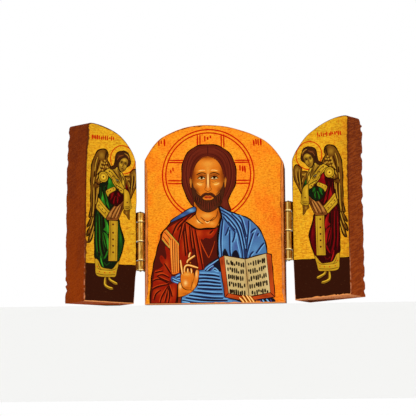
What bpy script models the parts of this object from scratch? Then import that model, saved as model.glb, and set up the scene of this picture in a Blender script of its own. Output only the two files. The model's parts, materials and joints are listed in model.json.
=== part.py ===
"""Folding triptych: an arched centre board and two half-arch wings on brass butt hinges.

Origin in the middle of the centre board's underside, +X to the viewer's right, +Y to the back, +Z up.
All driving dimensions are in millimetres.
"""

from math import cos, pi, radians, sin

import bmesh
import bpy
from mathutils import Matrix, Vector

MM = 0.001
GAP = 0.3               # left between pieces that touch

# ---- boards
BOARD_T = 22.0          # thickness of all three boards
CENTRE_W = 76.0
FRONT_Y = -BOARD_T / 2  # painted face of the centre board
EDGE_ROUND = 0.35       # broken edge around every painted face
SIDE_CHAMFER = 1.7      # wider worn chamfer on the centre board's two upright edges
CHAMFER_DEEP = 0.9

# centre board, x and z: the arch from the right spring over to the left one
CENTRE_ARCH = (
    (38.0, 75.6), (37.2, 77.4), (35.7, 79.8), (33.7, 82.6), (31.5, 85.2), (28.9, 87.6), (26.2, 89.4),
    (21.0, 92.0), (15.7, 94.0), (7.4, 96.4), (-0.8, 97.4), (-7.3, 97.5), (-14.2, 96.7), (-19.4, 95.2),
    (-23.8, 93.4), (-27.0, 91.8), (-29.4, 90.3), (-32.0, 87.7), (-34.1, 85.0), (-35.8, 82.3),
    (-37.2, 79.9), (-38.0, 78.4),
)

# wings: distance outward from the hinge side, and z
WINGS = {
    "left": {
        "side": -1,
        "fold": 37.0,
        "foot": ((1.6, 0.3), (32.3, 0.8)),
        "outer": ((32.3, 0.8), (32.1, 14.6), (31.7, 49.4), (31.3, 75.8), (30.1, 95.6)),
        "arch": ((30.1, 95.6), (29.3, 96.5), (27.6, 96.9), (24.5, 96.6), (20.3, 95.7), (15.1, 94.0),
                 (11.2, 92.1), (8.2, 89.9), (5.2, 86.8), (2.8, 83.7), (1.2, 80.8), (0.1, 77.8)),
        "inner": ((0.1, 77.8), (-0.3, 70.0), (-0.4, 56.0), (0.0, 51.0), (0.0, 18.0), (0.5, 15.0), (1.6, 0.3)),
        # worn places on the back outer edge: height, half length, depth
        "bites": ((7.8, 1.5, 1.1), (11.6, 1.5, 1.0), (17.0, 2.0, 0.3), (27.5, 3.5, 0.35), (41.0, 4.0, 0.4),
                  (52.0, 2.5, 0.3), (63.0, 3.0, 0.4), (77.3, 2.2, 0.7), (84.5, 2.0, 0.3), (91.8, 1.9, 0.8)),
        "back_corner": 0.6,
        "hinge_top": 50.0,
    },
    "right": {
        "side": 1,
        "fold": 21.5,
        "foot": ((0.8, 1.1), (33.1, 2.9)),
        "outer": ((33.1, 2.9), (32.9, 20.0), (32.7, 37.2), (32.7, 74.7), (33.2, 97.6)),
        "arch": ((33.2, 97.6), (32.8, 98.6), (30.7, 99.1), (26.6, 98.6), (21.7, 97.2), (16.8, 95.0),
                 (12.4, 92.4), (9.1, 90.1), (6.3, 87.2), (3.9, 84.1), (1.9, 81.2), (0.3, 78.0)),
        "inner": ((0.3, 78.0), (0.0, 76.6), (0.0, 56.0), (0.1, 22.0), (0.4, 14.0), (0.8, 1.1)),
        "bites": ((6.0, 1.5, 0.6), (12.7, 1.8, 0.9), (21.5, 2.2, 0.4), (31.0, 3.0, 0.4), (44.0, 3.0, 0.35),
                  (55.2, 2.4, 0.8), (63.0, 2.0, 0.5), (70.5, 2.2, 0.5), (79.9, 2.0, 0.8), (87.5, 2.2, 0.4),
                  (94.6, 1.7, 1.0)),
        "back_corner": 2.8,
        "hinge_top": 54.6,
    },
}
BACK_RISE = 1.2         # the arch climbs this much from the front of a wing to its back

# ---- hinges: four knuckles from the top, by turns on the wing leaf and on the centre leaf
KNUCKLES = (5.3, 10.7, 10.3, 5.5)
BARREL_R = 1.85
BORE_R = 0.95
PIN_R = 0.62
PIN_STANDS_OUT = 0.55
LEAF_T = 0.7
LEAF_DEEP = 9.0         # how far a leaf reaches back along the board's side
AXIS_OUT = BARREL_R + GAP   # hinge axis to each board's side face
AXIS_FORWARD = 0.5      # hinge axis in front of the painted faces
SCREW_R = 0.55
SCREW_LENGTH = 6.0
SCREW_HEAD_R = 1.3
SCREW_HEAD_T = 0.5
SCREW_HOLE_R = 0.85
SCREW_SPREAD = 9.5      # each of a leaf's two screws above and below the hinge's middle
SCREW_BACK = 5.6        # screws behind the hinge axis

AXIS_X = CENTRE_W / 2 + AXIS_OUT
AXIS_Y = FRONT_Y - AXIS_FORWARD
HINGE_LENGTH = sum(KNUCKLES)


def clear_scene():
    for obj in list(bpy.data.objects):
        bpy.data.objects.remove(obj, do_unlink=True)


def material(name, colour, roughness, metallic=0.0):
    mat = bpy.data.materials.new(name)
    mat.use_nodes = True
    shader = mat.node_tree.nodes["Principled BSDF"]
    shader.inputs["Base Color"].default_value = (*colour, 1.0)
    shader.inputs["Roughness"].default_value = roughness
    shader.inputs["Metallic"].default_value = metallic
    mat.diffuse_color = (*colour, 1.0)
    return mat


def add(name, bm, mat, parent=None, angle=30.0):
    """A named object from bm, whose coordinates are in millimetres."""
    bmesh.ops.remove_doubles(bm, verts=bm.verts, dist=0.0005)
    bmesh.ops.recalc_face_normals(bm, faces=bm.faces)
    bmesh.ops.transform(bm, matrix=Matrix.Scale(MM, 4), verts=bm.verts)
    mesh = bpy.data.meshes.new(name)
    bm.to_mesh(mesh)
    bm.free()
    mesh.polygons.foreach_set("use_smooth", [True] * len(mesh.polygons))
    mesh.set_sharp_from_angle(angle=radians(angle))
    if mat:
        mesh.materials.append(mat)
    obj = bpy.data.objects.new(name, mesh)
    bpy.context.scene.collection.objects.link(obj)
    obj.parent = parent
    return obj


def cutter(name, bm, parent=None):
    obj = add(name, bm, None, parent)
    obj.hide_render = True
    obj.display_type = "WIRE"
    return obj


def boolean(obj, other, operation="DIFFERENCE"):
    mod = obj.modifiers.new(other.name, "BOOLEAN")
    mod.operation = operation
    mod.solver = "EXACT"
    mod.object = other


def curve_through(points, per=4):
    """Points of a smooth curve through the given ones, per steps in each span."""
    pts = [Vector(p) for p in points]
    ends = [2 * pts[0] - pts[1]] + pts + [2 * pts[-1] - pts[-2]]
    out = []
    for a, b, c, d in zip(ends, ends[1:], ends[2:], ends[3:]):
        for k in range(per):
            t = k / per
            out.append(0.5 * (2 * b + (c - a) * t + (2 * a - 5 * b + 4 * c - d) * t ** 2
                              + (3 * b - a - 3 * c + d) * t ** 3))
    out.append(pts[-1])
    return [(p.x, p.y) for p in out]


def along(points, step):
    """Points along a broken line, no further apart than step."""
    out = []
    for (ax, az), (bx, bz) in zip(points, points[1:]):
        n = max(1, round(Vector((bx - ax, bz - az)).length / step))
        out += [(ax + (bx - ax) * k / n, az + (bz - az) * k / n) for k in range(n)]
    out.append(points[-1])
    return out


def inset(points, distance):
    """The closed outline moved inward by distance(x, z) at each point."""
    out = []
    n = len(points)
    for i, (x, z) in enumerate(points):
        before = Vector(points[i]) - Vector(points[i - 1])
        after = Vector(points[(i + 1) % n]) - Vector(points[i])
        tangents = [v.normalized() for v in (before, after) if v.length > 1e-6]
        normals = [Vector((-t.y, t.x)) for t in tangents]
        mid = sum(normals, Vector((0, 0)))
        mid = mid / mid.length_squared * len(normals) if mid.length > 1e-6 else normals[0]
        move = mid * distance(x, z)
        out.append((x + move.x, z + move.y))
    return out


def loft(rings):
    """A closed solid from rings of equal count, each a list of (x, y, z)."""
    bm = bmesh.new()
    levels = [[bm.verts.new(p) for p in ring] for ring in rings]
    n = len(levels[0])
    for low, high in zip(levels, levels[1:]):
        for i in range(n):
            j = (i + 1) % n
            bm.faces.new((low[i], low[j], high[j], high[i]))
    bm.faces.new(levels[0])
    bm.faces.new(levels[-1])
    return bm


def box(x, y, z):
    bm = bmesh.new()
    bmesh.ops.create_cube(bm, size=1.0)
    for v in bm.verts:
        v.co = Vector([lo + (hi - lo) * (c + 0.5) for c, (lo, hi) in zip(v.co, (x, y, z))])
    return bm


def turned(profile, segments=24):
    """A solid turned about Z from a profile of (radius, height), bottom to top on the axis."""
    bm = bmesh.new()
    rows = []
    for r, z in profile:
        if r == 0:
            rows.append([bm.verts.new((0, 0, z))])
        else:
            rows.append([bm.verts.new((r * cos(2 * pi * k / segments), r * sin(2 * pi * k / segments), z))
                         for k in range(segments)])
    for low, high in zip(rows, rows[1:]):
        for k in range(segments):
            j = (k + 1) % segments
            if len(low) == 1:
                bm.faces.new((low[0], high[j], high[k]))
            elif len(high) == 1:
                bm.faces.new((low[k], low[j], high[0]))
            else:
                bm.faces.new((low[k], low[j], high[j], high[k]))
    return bm


def cylinder(radius, bottom, top, segments=24):
    return turned(((0, bottom), (radius, bottom), (radius, top), (0, top)), segments)


def placed(bm, matrix):
    bmesh.ops.transform(bm, matrix=matrix, verts=bm.verts)
    return bm


# ---- centre board

def centre_board(mat):
    half = CENTRE_W / 2
    arch = curve_through(CENTRE_ARCH, 3)
    outline = along(((-half, 0.0), (half, 0.0)), 19.0)[:-1]
    outline += along(((half, 0.0), arch[0]), 6.0)[:-1]
    outline += arch[:-1]
    outline += along((arch[-1], (-half, 0.0)), 6.0)[:-1]

    def worn(x, z):
        """Inset of the painted face: wide on the upright sides, fading out where the arch springs."""
        side = abs(x) > half - 0.8 and z > 0.1
        fade = min(1.0, max(0.0, (79.5 - z) / 6.0))
        return EDGE_ROUND + (SIDE_CHAMFER - EDGE_ROUND) * fade if side else EDGE_ROUND

    front = inset(outline, worn)
    shoulder = inset(outline, lambda x, z: 0.45 * (worn(x, z) - EDGE_ROUND))
    full = outline
    rings = [
        [(x, FRONT_Y, z) for x, z in front],
        [(x, FRONT_Y + CHAMFER_DEEP * 0.45, z) for x, z in shoulder],
        [(x, FRONT_Y + CHAMFER_DEEP * 1.5, z) for x, z in full],
        [(x, -FRONT_Y - 0.5, z) for x, z in full],
        [(x, -FRONT_Y, z) for x, z in inset(full, lambda x, z: 0.4)],
    ]
    return add("centre_panel", loft(rings), mat)


# ---- wings

def wear_depth(bites, z):
    deep = sum(d * max(0.0, 1.0 - ((z - at) / half) ** 2) for at, half, d in bites)
    return deep + 0.12 * (1.0 + sin(1.9 * z) * sin(0.63 * z + 1.0))


def wing_board(name, spec, mat, joint):
    side = spec["side"]
    outer = along(spec["outer"], 1.15)
    outline = along(spec["foot"], 8.0)[:-1] + outer[:-1]
    worn_from, worn_to = len(along(spec["foot"], 8.0)) - 1, len(outline)
    outline += curve_through(spec["arch"], 3)[:-1]
    outline += along(spec["inner"], 9.0)[:-1]
    top_z = spec["outer"][-1][1]
    reach = spec["outer"][-1][0]

    def ring(deep, wear, rim):
        pts = inset(outline, lambda x, z: rim)
        out = []
        for i, (dx, z) in enumerate(pts):
            z += BACK_RISE * max(0.0, (z - 77.0) / 20.0) * deep / BOARD_T
            if worn_from <= i < worn_to:
                dx -= wear * wear_depth(spec["bites"], z)
            # the back outer corner at the top is worn round
            corner = spec["back_corner"]
            u, v = dx - (reach - corner), z - (top_z - corner)
            if wear and u > 0 and v > 0 and (u * u + v * v) ** 0.5 > corner:
                pull = 1 - (1 - corner / (u * u + v * v) ** 0.5) * wear
                dx, z = reach - corner + u * pull, top_z - corner + v * pull
            out.append((side * (AXIS_OUT + dx), AXIS_FORWARD + deep, z))
        return out

    rings = [
        ring(0.0, 0.0, EDGE_ROUND),
        ring(0.4, 0.0, 0.0),
        ring(BOARD_T - 5.5, 0.0, 0.0),
        ring(BOARD_T - 3.6, 0.3, 0.0),
        ring(BOARD_T - 1.9, 0.8, 0.0),
        ring(BOARD_T - 0.5, 1.0, 0.05),
        ring(BOARD_T, 1.0, 0.5),
    ]
    return add(name, loft(rings), mat, joint)


# ---- hinges, built about their own axis with the wing open flat

def knuckle_spans(top):
    spans = []
    for i, length in enumerate(KNUCKLES):
        spans.append((top - length + (GAP / 2 if i < 3 else 0.0), top - (GAP / 2 if i else 0.0)))
        top -= length
    return spans


def leaf(name, towards, spans, bottom, top, mat, parent):
    """One leaf on the side of the axis given by towards (-1 or +1), with its own knuckles."""
    faces = sorted((towards * (BARREL_R - LEAF_T), towards * BARREL_R))
    clear = BARREL_R + GAP + 0.05
    obj = add(name, box(faces, (clear, LEAF_DEEP), (bottom, top)), mat, parent)
    middle = (bottom + top) / 2
    parts = []
    for i, (low, high) in enumerate(spans):
        parts.append((f"{name}_barrel_{i}", cylinder(BARREL_R, low, high, 32), "UNION"))
        tongue = box((faces[0] + 0.05, faces[1] - 0.05), (0.0, clear + 1.0), (low + 0.05, high - 0.05))
        parts.append((f"{name}_tongue_{i}", tongue, "UNION"))
    parts.append((f"{name}_bore", cylinder(BORE_R, bottom - 2, top + 2, 24), "DIFFERENCE"))
    turn = Matrix.Rotation(pi / 2, 4, "Y")
    for i, z in enumerate((middle - SCREW_SPREAD, middle + SCREW_SPREAD)):
        hole = placed(cylinder(SCREW_HOLE_R, -3, 3, 20), Matrix.Translation((towards * BARREL_R, SCREW_BACK, z)) @ turn)
        parts.append((f"{name}_hole_{i}", hole, "DIFFERENCE"))
    for label, bm, operation in parts:
        boolean(obj, cutter(label, bm, parent), operation)
    return obj


def screw(name, towards, z, mat, parent):
    """A small round-head screw through the leaf into the board's side, along X."""
    inner = BARREL_R - LEAF_T - 0.08
    profile = ((0, -SCREW_LENGTH), (0.2, -SCREW_LENGTH + 0.2), (SCREW_R, -SCREW_LENGTH + 1.3), (SCREW_R, 0.0),
               (SCREW_HEAD_R, 0.0), (SCREW_HEAD_R, SCREW_HEAD_T * 0.45), (SCREW_HEAD_R * 0.72, SCREW_HEAD_T * 0.85),
               (0, SCREW_HEAD_T))
    turn = Matrix.Rotation(-towards * pi / 2, 4, "Y")
    place = Matrix.Translation((towards * inner, SCREW_BACK, z)) @ turn
    obj = add(name, placed(turned(profile, 20), place), mat, parent)
    slot = placed(box((-2, 2), (-0.16, 0.16), (SCREW_HEAD_T * 0.45, 2)), place @ Matrix.Rotation(0.5 * z, 4, "Z"))
    boolean(obj, cutter(f"{name}_slot", slot, parent))
    return obj


def screw_holes(board, towards, heights, parent):
    turn = Matrix.Rotation(pi / 2, 4, "Y")
    for i, z in enumerate(heights):
        place = Matrix.Translation((towards * (AXIS_OUT + 2.4), SCREW_BACK, z)) @ turn
        hole = cutter(f"{board.name}_pilot_{parent.name}_{i}", placed(cylinder(SCREW_R + GAP, -4, 4, 16), place), parent)
        boolean(board, hole)


def hinge(label, spec, centre, wing, centre_frame, joint, mats):
    side = spec["side"]
    top = spec["hinge_top"]
    bottom = top - HINGE_LENGTH
    spans = knuckle_spans(top)
    leaf(f"{label}_hinge_wing_leaf", side, spans[0::2], bottom, top, mats["brass"], joint)
    leaf(f"{label}_hinge_centre_leaf", -side, spans[1::2], bottom, top, mats["brass"], centre_frame)
    pin = turned(((0, bottom - PIN_STANDS_OUT), (PIN_R * 0.7, bottom - PIN_STANDS_OUT + 0.08), (PIN_R, bottom - 0.2),
                  (PIN_R, top + 0.2), (PIN_R * 0.7, top + PIN_STANDS_OUT - 0.08), (0, top + PIN_STANDS_OUT)), 20)
    add(f"{label}_hinge_pin", pin, mats["pin"], centre_frame)
    heights = (top - HINGE_LENGTH / 2 - SCREW_SPREAD, top - HINGE_LENGTH / 2 + SCREW_SPREAD)
    for word, z in zip(("lower", "upper"), heights):
        screw(f"{label}_wing_{word}_screw", side, z, mats["screw"], joint)
        screw(f"{label}_centre_{word}_screw", -side, z, mats["screw"], centre_frame)
    screw_holes(wing, side, heights, joint)
    screw_holes(centre, -side, heights, centre_frame)


def empty(name, place, angle):
    obj = bpy.data.objects.new(name, None)
    bpy.context.scene.collection.objects.link(obj)
    obj.location = Vector(place) * MM
    obj.rotation_euler = (0, 0, radians(angle))
    obj.empty_display_size = 0.02
    return obj


def main():
    clear_scene()
    mats = {
        "centre": material("centre_wood", (0.36, 0.10, 0.03), 0.55),
        "left": material("left_wing_wood", (0.27, 0.06, 0.02), 0.55),
        "right": material("right_wing_wood", (0.27, 0.07, 0.03), 0.55),
        "brass": material("hinge_brass", (0.72, 0.46, 0.16), 0.35, 1.0),
        "pin": material("pin_brass", (0.60, 0.40, 0.16), 0.4, 1.0),
        "screw": material("screw_brass", (0.66, 0.45, 0.18), 0.4, 1.0),
    }
    centre = centre_board(mats["centre"])
    for label, spec in WINGS.items():
        side = spec["side"]
        place = (side * AXIS_X, AXIS_Y, 0.0)
        joint = empty(f"{label}_joint", place, -side * spec["fold"])
        centre_frame = empty(f"{label}_hinge_seat", place, 0.0)
        wing = wing_board(f"{label}_wing_panel", spec, mats[label], joint)
        hinge(label, spec, centre, wing, centre_frame, joint, mats)


main()
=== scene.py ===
import json
from math import cos, pi, radians, sin

import bmesh
import bpy
import numpy as np
from mathutils import Matrix, Vector
from mathutils.geometry import delaunay_2d_cdt


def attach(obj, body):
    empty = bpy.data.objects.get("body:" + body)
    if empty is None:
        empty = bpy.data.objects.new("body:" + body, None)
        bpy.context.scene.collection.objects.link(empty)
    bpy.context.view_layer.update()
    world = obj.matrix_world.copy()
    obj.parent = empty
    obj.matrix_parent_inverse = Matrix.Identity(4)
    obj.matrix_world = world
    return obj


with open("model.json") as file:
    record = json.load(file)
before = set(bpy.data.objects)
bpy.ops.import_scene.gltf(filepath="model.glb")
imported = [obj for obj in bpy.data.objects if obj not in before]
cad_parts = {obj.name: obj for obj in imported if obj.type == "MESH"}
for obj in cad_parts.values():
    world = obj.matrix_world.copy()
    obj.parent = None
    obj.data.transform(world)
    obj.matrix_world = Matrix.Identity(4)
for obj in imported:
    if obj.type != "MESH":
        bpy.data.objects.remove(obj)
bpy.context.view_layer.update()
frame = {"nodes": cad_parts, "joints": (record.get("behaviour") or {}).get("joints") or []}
nodes = frame["nodes"]

# ======================================================================================
# The boards: three pieces of one softwood plank, 22 mm thick, cut to their arches with a
# coarse saw. The fronts are planed for the paintings, the sides and backs stained red-brown
# over the saw marks, and the feet left raw.
# ======================================================================================


class Value:
    """One socket of a finish's nodes, so that its maths reads as plain arithmetic."""

    def __init__(self, finish, socket):
        self.finish, self.socket = finish, socket

    def maths(self, operation, *others, swap=False):
        terms = [self, *others]
        if swap:
            terms.reverse()
        return self.finish.node("ShaderNodeMath", {"operation": operation}, dict(enumerate(terms)))

    def __add__(self, other):
        return self.maths("ADD", other)

    def __radd__(self, other):
        return self.maths("ADD", other, swap=True)

    def __sub__(self, other):
        return self.maths("SUBTRACT", other)

    def __rsub__(self, other):
        return self.maths("SUBTRACT", other, swap=True)

    def __mul__(self, other):
        return self.maths("MULTIPLY", other)

    def __rmul__(self, other):
        return self.maths("MULTIPLY", other, swap=True)

    def __truediv__(self, other):
        return self.maths("DIVIDE", other)

    def __neg__(self):
        return self.maths("MULTIPLY", -1.0)

    def __abs__(self):
        return self.maths("ABSOLUTE")

    def above(self, edge, soft):
        """0 to 1 as this rises through edge, over a soft band."""
        return self.finish.node("ShaderNodeMapRange", {"interpolation_type": "SMOOTHSTEP"},
                                {"Value": self, "From Min": edge - soft, "From Max": edge + soft})

    def below(self, edge, soft):
        """1 to 0 as this rises through edge, over a soft band."""
        return 1.0 - self.above(edge, soft)

    def limited(self):
        return self.finish.node("ShaderNodeClamp", {}, {"Value": self})


class Finish:
    """A material, and short ways to lay its nodes."""

    def __init__(self, name):
        self.material = bpy.data.materials.new(name)
        self.material.use_nodes = True
        self.tree = self.material.node_tree
        self.shader = self.tree.nodes["Principled BSDF"]

    def node(self, kind, settings=None, sockets=None, out=0):
        made = self.tree.nodes.new(kind)
        for key, value in (settings or {}).items():
            setattr(made, key, value)
        for key, value in (sockets or {}).items():
            if isinstance(value, Value):
                self.tree.links.new(value.socket, made.inputs[key])
            else:
                made.inputs[key].default_value = value
        return Value(self, made.outputs[out])

    def mix(self, amount, first, second, blend="MIX"):
        """Colour first turning into second by amount."""
        first, second = ((*c, 1.0) if isinstance(c, tuple) else c for c in (first, second))
        return self.node("ShaderNodeMix", {"data_type": "RGBA", "blend_type": blend},
                         {0: amount, 6: first, 7: second}, out=2)

    def layered(self, colour, *coats):
        """Colour under coats of (amount, colour), each laid over those before it."""
        for amount, coat in coats:
            colour = self.mix(amount, colour, coat)
        return colour

    def place(self, turn=0.0, about=(0.0, 0.0, 0.0)):
        """The point in millimetres, seen from about after turning by -turn degrees on Z."""
        where = self.node("ShaderNodeTexCoord", out="Object")
        return self.node("ShaderNodeMapping", {"vector_type": "TEXTURE"},
                         {"Vector": where, "Location": about, "Rotation": (0.0, 0.0, radians(turn)),
                          "Scale": (0.001, 0.001, 0.001)})

    def parts(self, point):
        split = self.node("ShaderNodeSeparateXYZ", {}, {0: point}).socket.node
        return [Value(self, out) for out in split.outputs]

    def noise(self, point, lengths=(1.0, 1.0, 1.0), detail=3.0, roughness=0.55, distortion=0.0,
              turn=(0.0, 0.0, 0.0), scale=1.0):
        """Noise in marks of about lengths / scale millimetres, on axes turned by turn."""
        drawn_out = self.node("ShaderNodeMapping", {"vector_type": "TEXTURE"},
                              {"Vector": point, "Scale": lengths, "Rotation": turn})
        return self.node("ShaderNodeTexNoise", {"noise_dimensions": "3D"},
                         {"Vector": drawn_out, "Scale": scale, "Detail": detail, "Roughness": roughness,
                          "Distortion": distortion}, out="Fac")

    def bump(self, height, depth, strength=1.0):
        """A surface normal for height, a value in millimetres times depth."""
        return self.node("ShaderNodeBump", {}, {"Height": height, "Strength": strength,
                                                "Distance": 0.001 * depth})

    def set(self, **sockets):
        for key, value in sockets.items():
            socket = self.shader.inputs[key.replace("_", " ")]
            if isinstance(value, Value):
                self.tree.links.new(value.socket, socket)
            elif isinstance(value, tuple):
                socket.default_value = (*value, 1.0)
            else:
                socket.default_value = value
        return self.material


def rgb(red, green, blue):
    """A colour on a 0-255 swatch, as the linear light a shader wants."""
    shares = (red / 255, green / 255, blue / 255)
    return tuple(c / 12.92 if c <= 0.04045 else ((c + 0.055) / 1.055) ** 2.4 for c in shares)


def dress(obj, material):
    obj.data.materials.clear()
    obj.data.materials.append(material)


hinge_axes = {joint["child"]: Vector(joint["pos_m"]) for joint in frame["joints"]}
wing_turns = {"left_wing": 37.0, "right_wing": -21.5}
# Where each board's painted front lies, in the board's own millimetres from back to front.
centre_front, wing_front = -11.0, 0.5
board_height = 96.0


def stained_wood(name, turn, about, front, streaks, saw_slope, bare, foot):
    """Red-brown stain over saw marks; bare leaves the front edge raw, foot is the stain run under."""
    wood = Finish(name)
    point = wood.place(turn, about)
    _, depth, height = wood.parts(point)
    fibre_length, saw_line, saw_pitch, fuzz_size = 8.0, 9.0, 0.75, 0.9
    fibres = wood.noise(point, (0.6, 0.6, fibre_length), 4.0, 0.6)
    clouds = wood.noise(point, (10.0, 10.0, 16.0), 4.0, 0.6, 0.4)
    teeth = wood.noise(point, (saw_line, saw_line, saw_pitch), 2.0, 0.55, 0.15,
                       turn=(radians(saw_slope), 0.0, 0.0))
    fuzz = wood.noise(point, (fuzz_size, fuzz_size, 0.6), 3.0, 0.7)
    chips = wood.noise(point, (0.4, 0.4, 6.0), 4.0, 0.7)
    rubbed = wood.noise(point, scale=0.7)
    behind_front = depth - front
    edge = behind_front.below(0.45, 0.25)
    facing_up = wood.parts(wood.node("ShaderNodeNewGeometry", out="Normal"))[2]

    # Paler towards the foot, with clouds, saw marks, open fibres and fuzz in the stain.
    colour = wood.mix((1.0 - height / board_height).limited(), rgb(88, 30, 8), rgb(136, 48, 0))
    colour = wood.layered(colour,
                          (clouds.above(0.5, 0.12) * 0.4, rgb(132, 52, 2)),
                          (clouds.below(0.44, 0.10) * 0.5, rgb(96, 34, 8)),
                          (teeth.above(0.52, 0.05) * streaks, rgb(152, 72, 24)),
                          (teeth.below(0.46, 0.05) * streaks, rgb(104, 40, 12)),
                          (fibres.above(0.56, 0.10) * 0.2, rgb(84, 26, 2)),
                          (fuzz.above(0.60, 0.08) * 0.35, rgb(74, 22, 0)),
                          (fuzz.below(0.42, 0.08) * 0.3, rgb(164, 78, 20)))

    # The front edge is raw chipped wood down a chamfer, or stain rubbed dark. Low down it is bare.
    if bare:
        chipped = wood.mix(chips.above(0.5, 0.1), rgb(232, 140, 66), rgb(188, 92, 30))
        colour = wood.mix(behind_front.below(1.0, 0.2), colour, chipped)
    else:
        colour = wood.mix(edge * rubbed.above(0.42, 0.1) * 0.8, colour, rgb(72, 26, 8))
    lower_edge = edge * height.below(24.0, 16.0) * rubbed.above(0.5, 0.1)
    colour = wood.mix(lower_edge * 0.8, colour, rgb(206, 128, 90))

    # The foot is raw, with stain run under it from behind.
    raw = wood.mix(fuzz.above(0.5, 0.12), rgb(208, 134, 84), rgb(160, 82, 40))
    raw = wood.layered(raw, (behind_front.above(0.9, 0.4) * foot, rgb(140, 56, 6)),
                       (edge * 0.8, rgb(236, 158, 98)))
    colour = wood.mix((-facing_up).above(0.7, 0.1), colour, raw)

    relief = 0.4 * fibres + 0.9 * teeth + 0.5 * fuzz
    return wood.set(Base_Color=colour, Roughness=0.6 + 0.25 * fibres,
                    Normal=wood.bump(relief, 0.14, 0.7), Specular_IOR_Level=0.01)


dress(nodes["centre_panel"], stained_wood("centre_wood", 0.0, (0.0, 0.0, 0.0), centre_front,
                                          0.4, 20.0, bare=True, foot=0.4))
for side, streaks, saw_slope, foot in (("left", 0.15, -14.0, 1.0), ("right", 0.5, 16.0, 0.0)):
    axis = hinge_axes[f"{side}_wing"]
    dress(nodes[f"{side}_wing_panel"],
          stained_wood(f"{side}_wing_wood", wing_turns[f"{side}_wing"], (axis.x, axis.y, 0.0),
                       wing_front, streaks, saw_slope, bare=False, foot=foot))

# ======================================================================================
# The middle board's painting: gold ground and thin strong colour brushed flat on its front,
# outlined in dark brown and varnished. It is a half figure with a raised hand and an open
# book, and its places are millimetres across and up the board.
# ======================================================================================

pigments = {
    "centre_gold": (247, 149, 24), "gold_warm": (255, 166, 36), "gold_red": (238, 112, 28),
    "line_red": (186, 18, 0), "hair": (88, 26, 12), "hair_warm": (110, 38, 20),
    "hair_deep": (60, 14, 8), "beard": (70, 32, 14), "skin": (212, 112, 22),
    "skin_light": (232, 162, 60), "skin_pale": (246, 202, 118), "skin_dark": (148, 62, 8),
    "skin_deep": (92, 40, 6), "umber": (66, 28, 4), "soot": (24, 6, 0), "soot_red": (50, 6, 0),
    "ember": (118, 34, 10), "maroon": (76, 17, 8), "red": (142, 24, 4), "red_bright": (190, 62, 14),
    "lip": (186, 58, 20), "ochre_red": (222, 106, 28), "ochre_light": (240, 158, 60),
    "olive_gold": (188, 156, 56), "blue": (70, 112, 158), "blue_light": (108, 164, 206),
    "blue_deep": (46, 70, 124), "blue_violet": (62, 60, 126), "navy": (20, 16, 28),
    "cover": (180, 66, 18), "page": (192, 166, 108), "page_light": (234, 212, 158),
    "page_shade": (168, 130, 72), "ink": (36, 24, 10), "rim_brown": (96, 46, 14),
    "raw_wood": (224, 140, 74),
}


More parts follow.
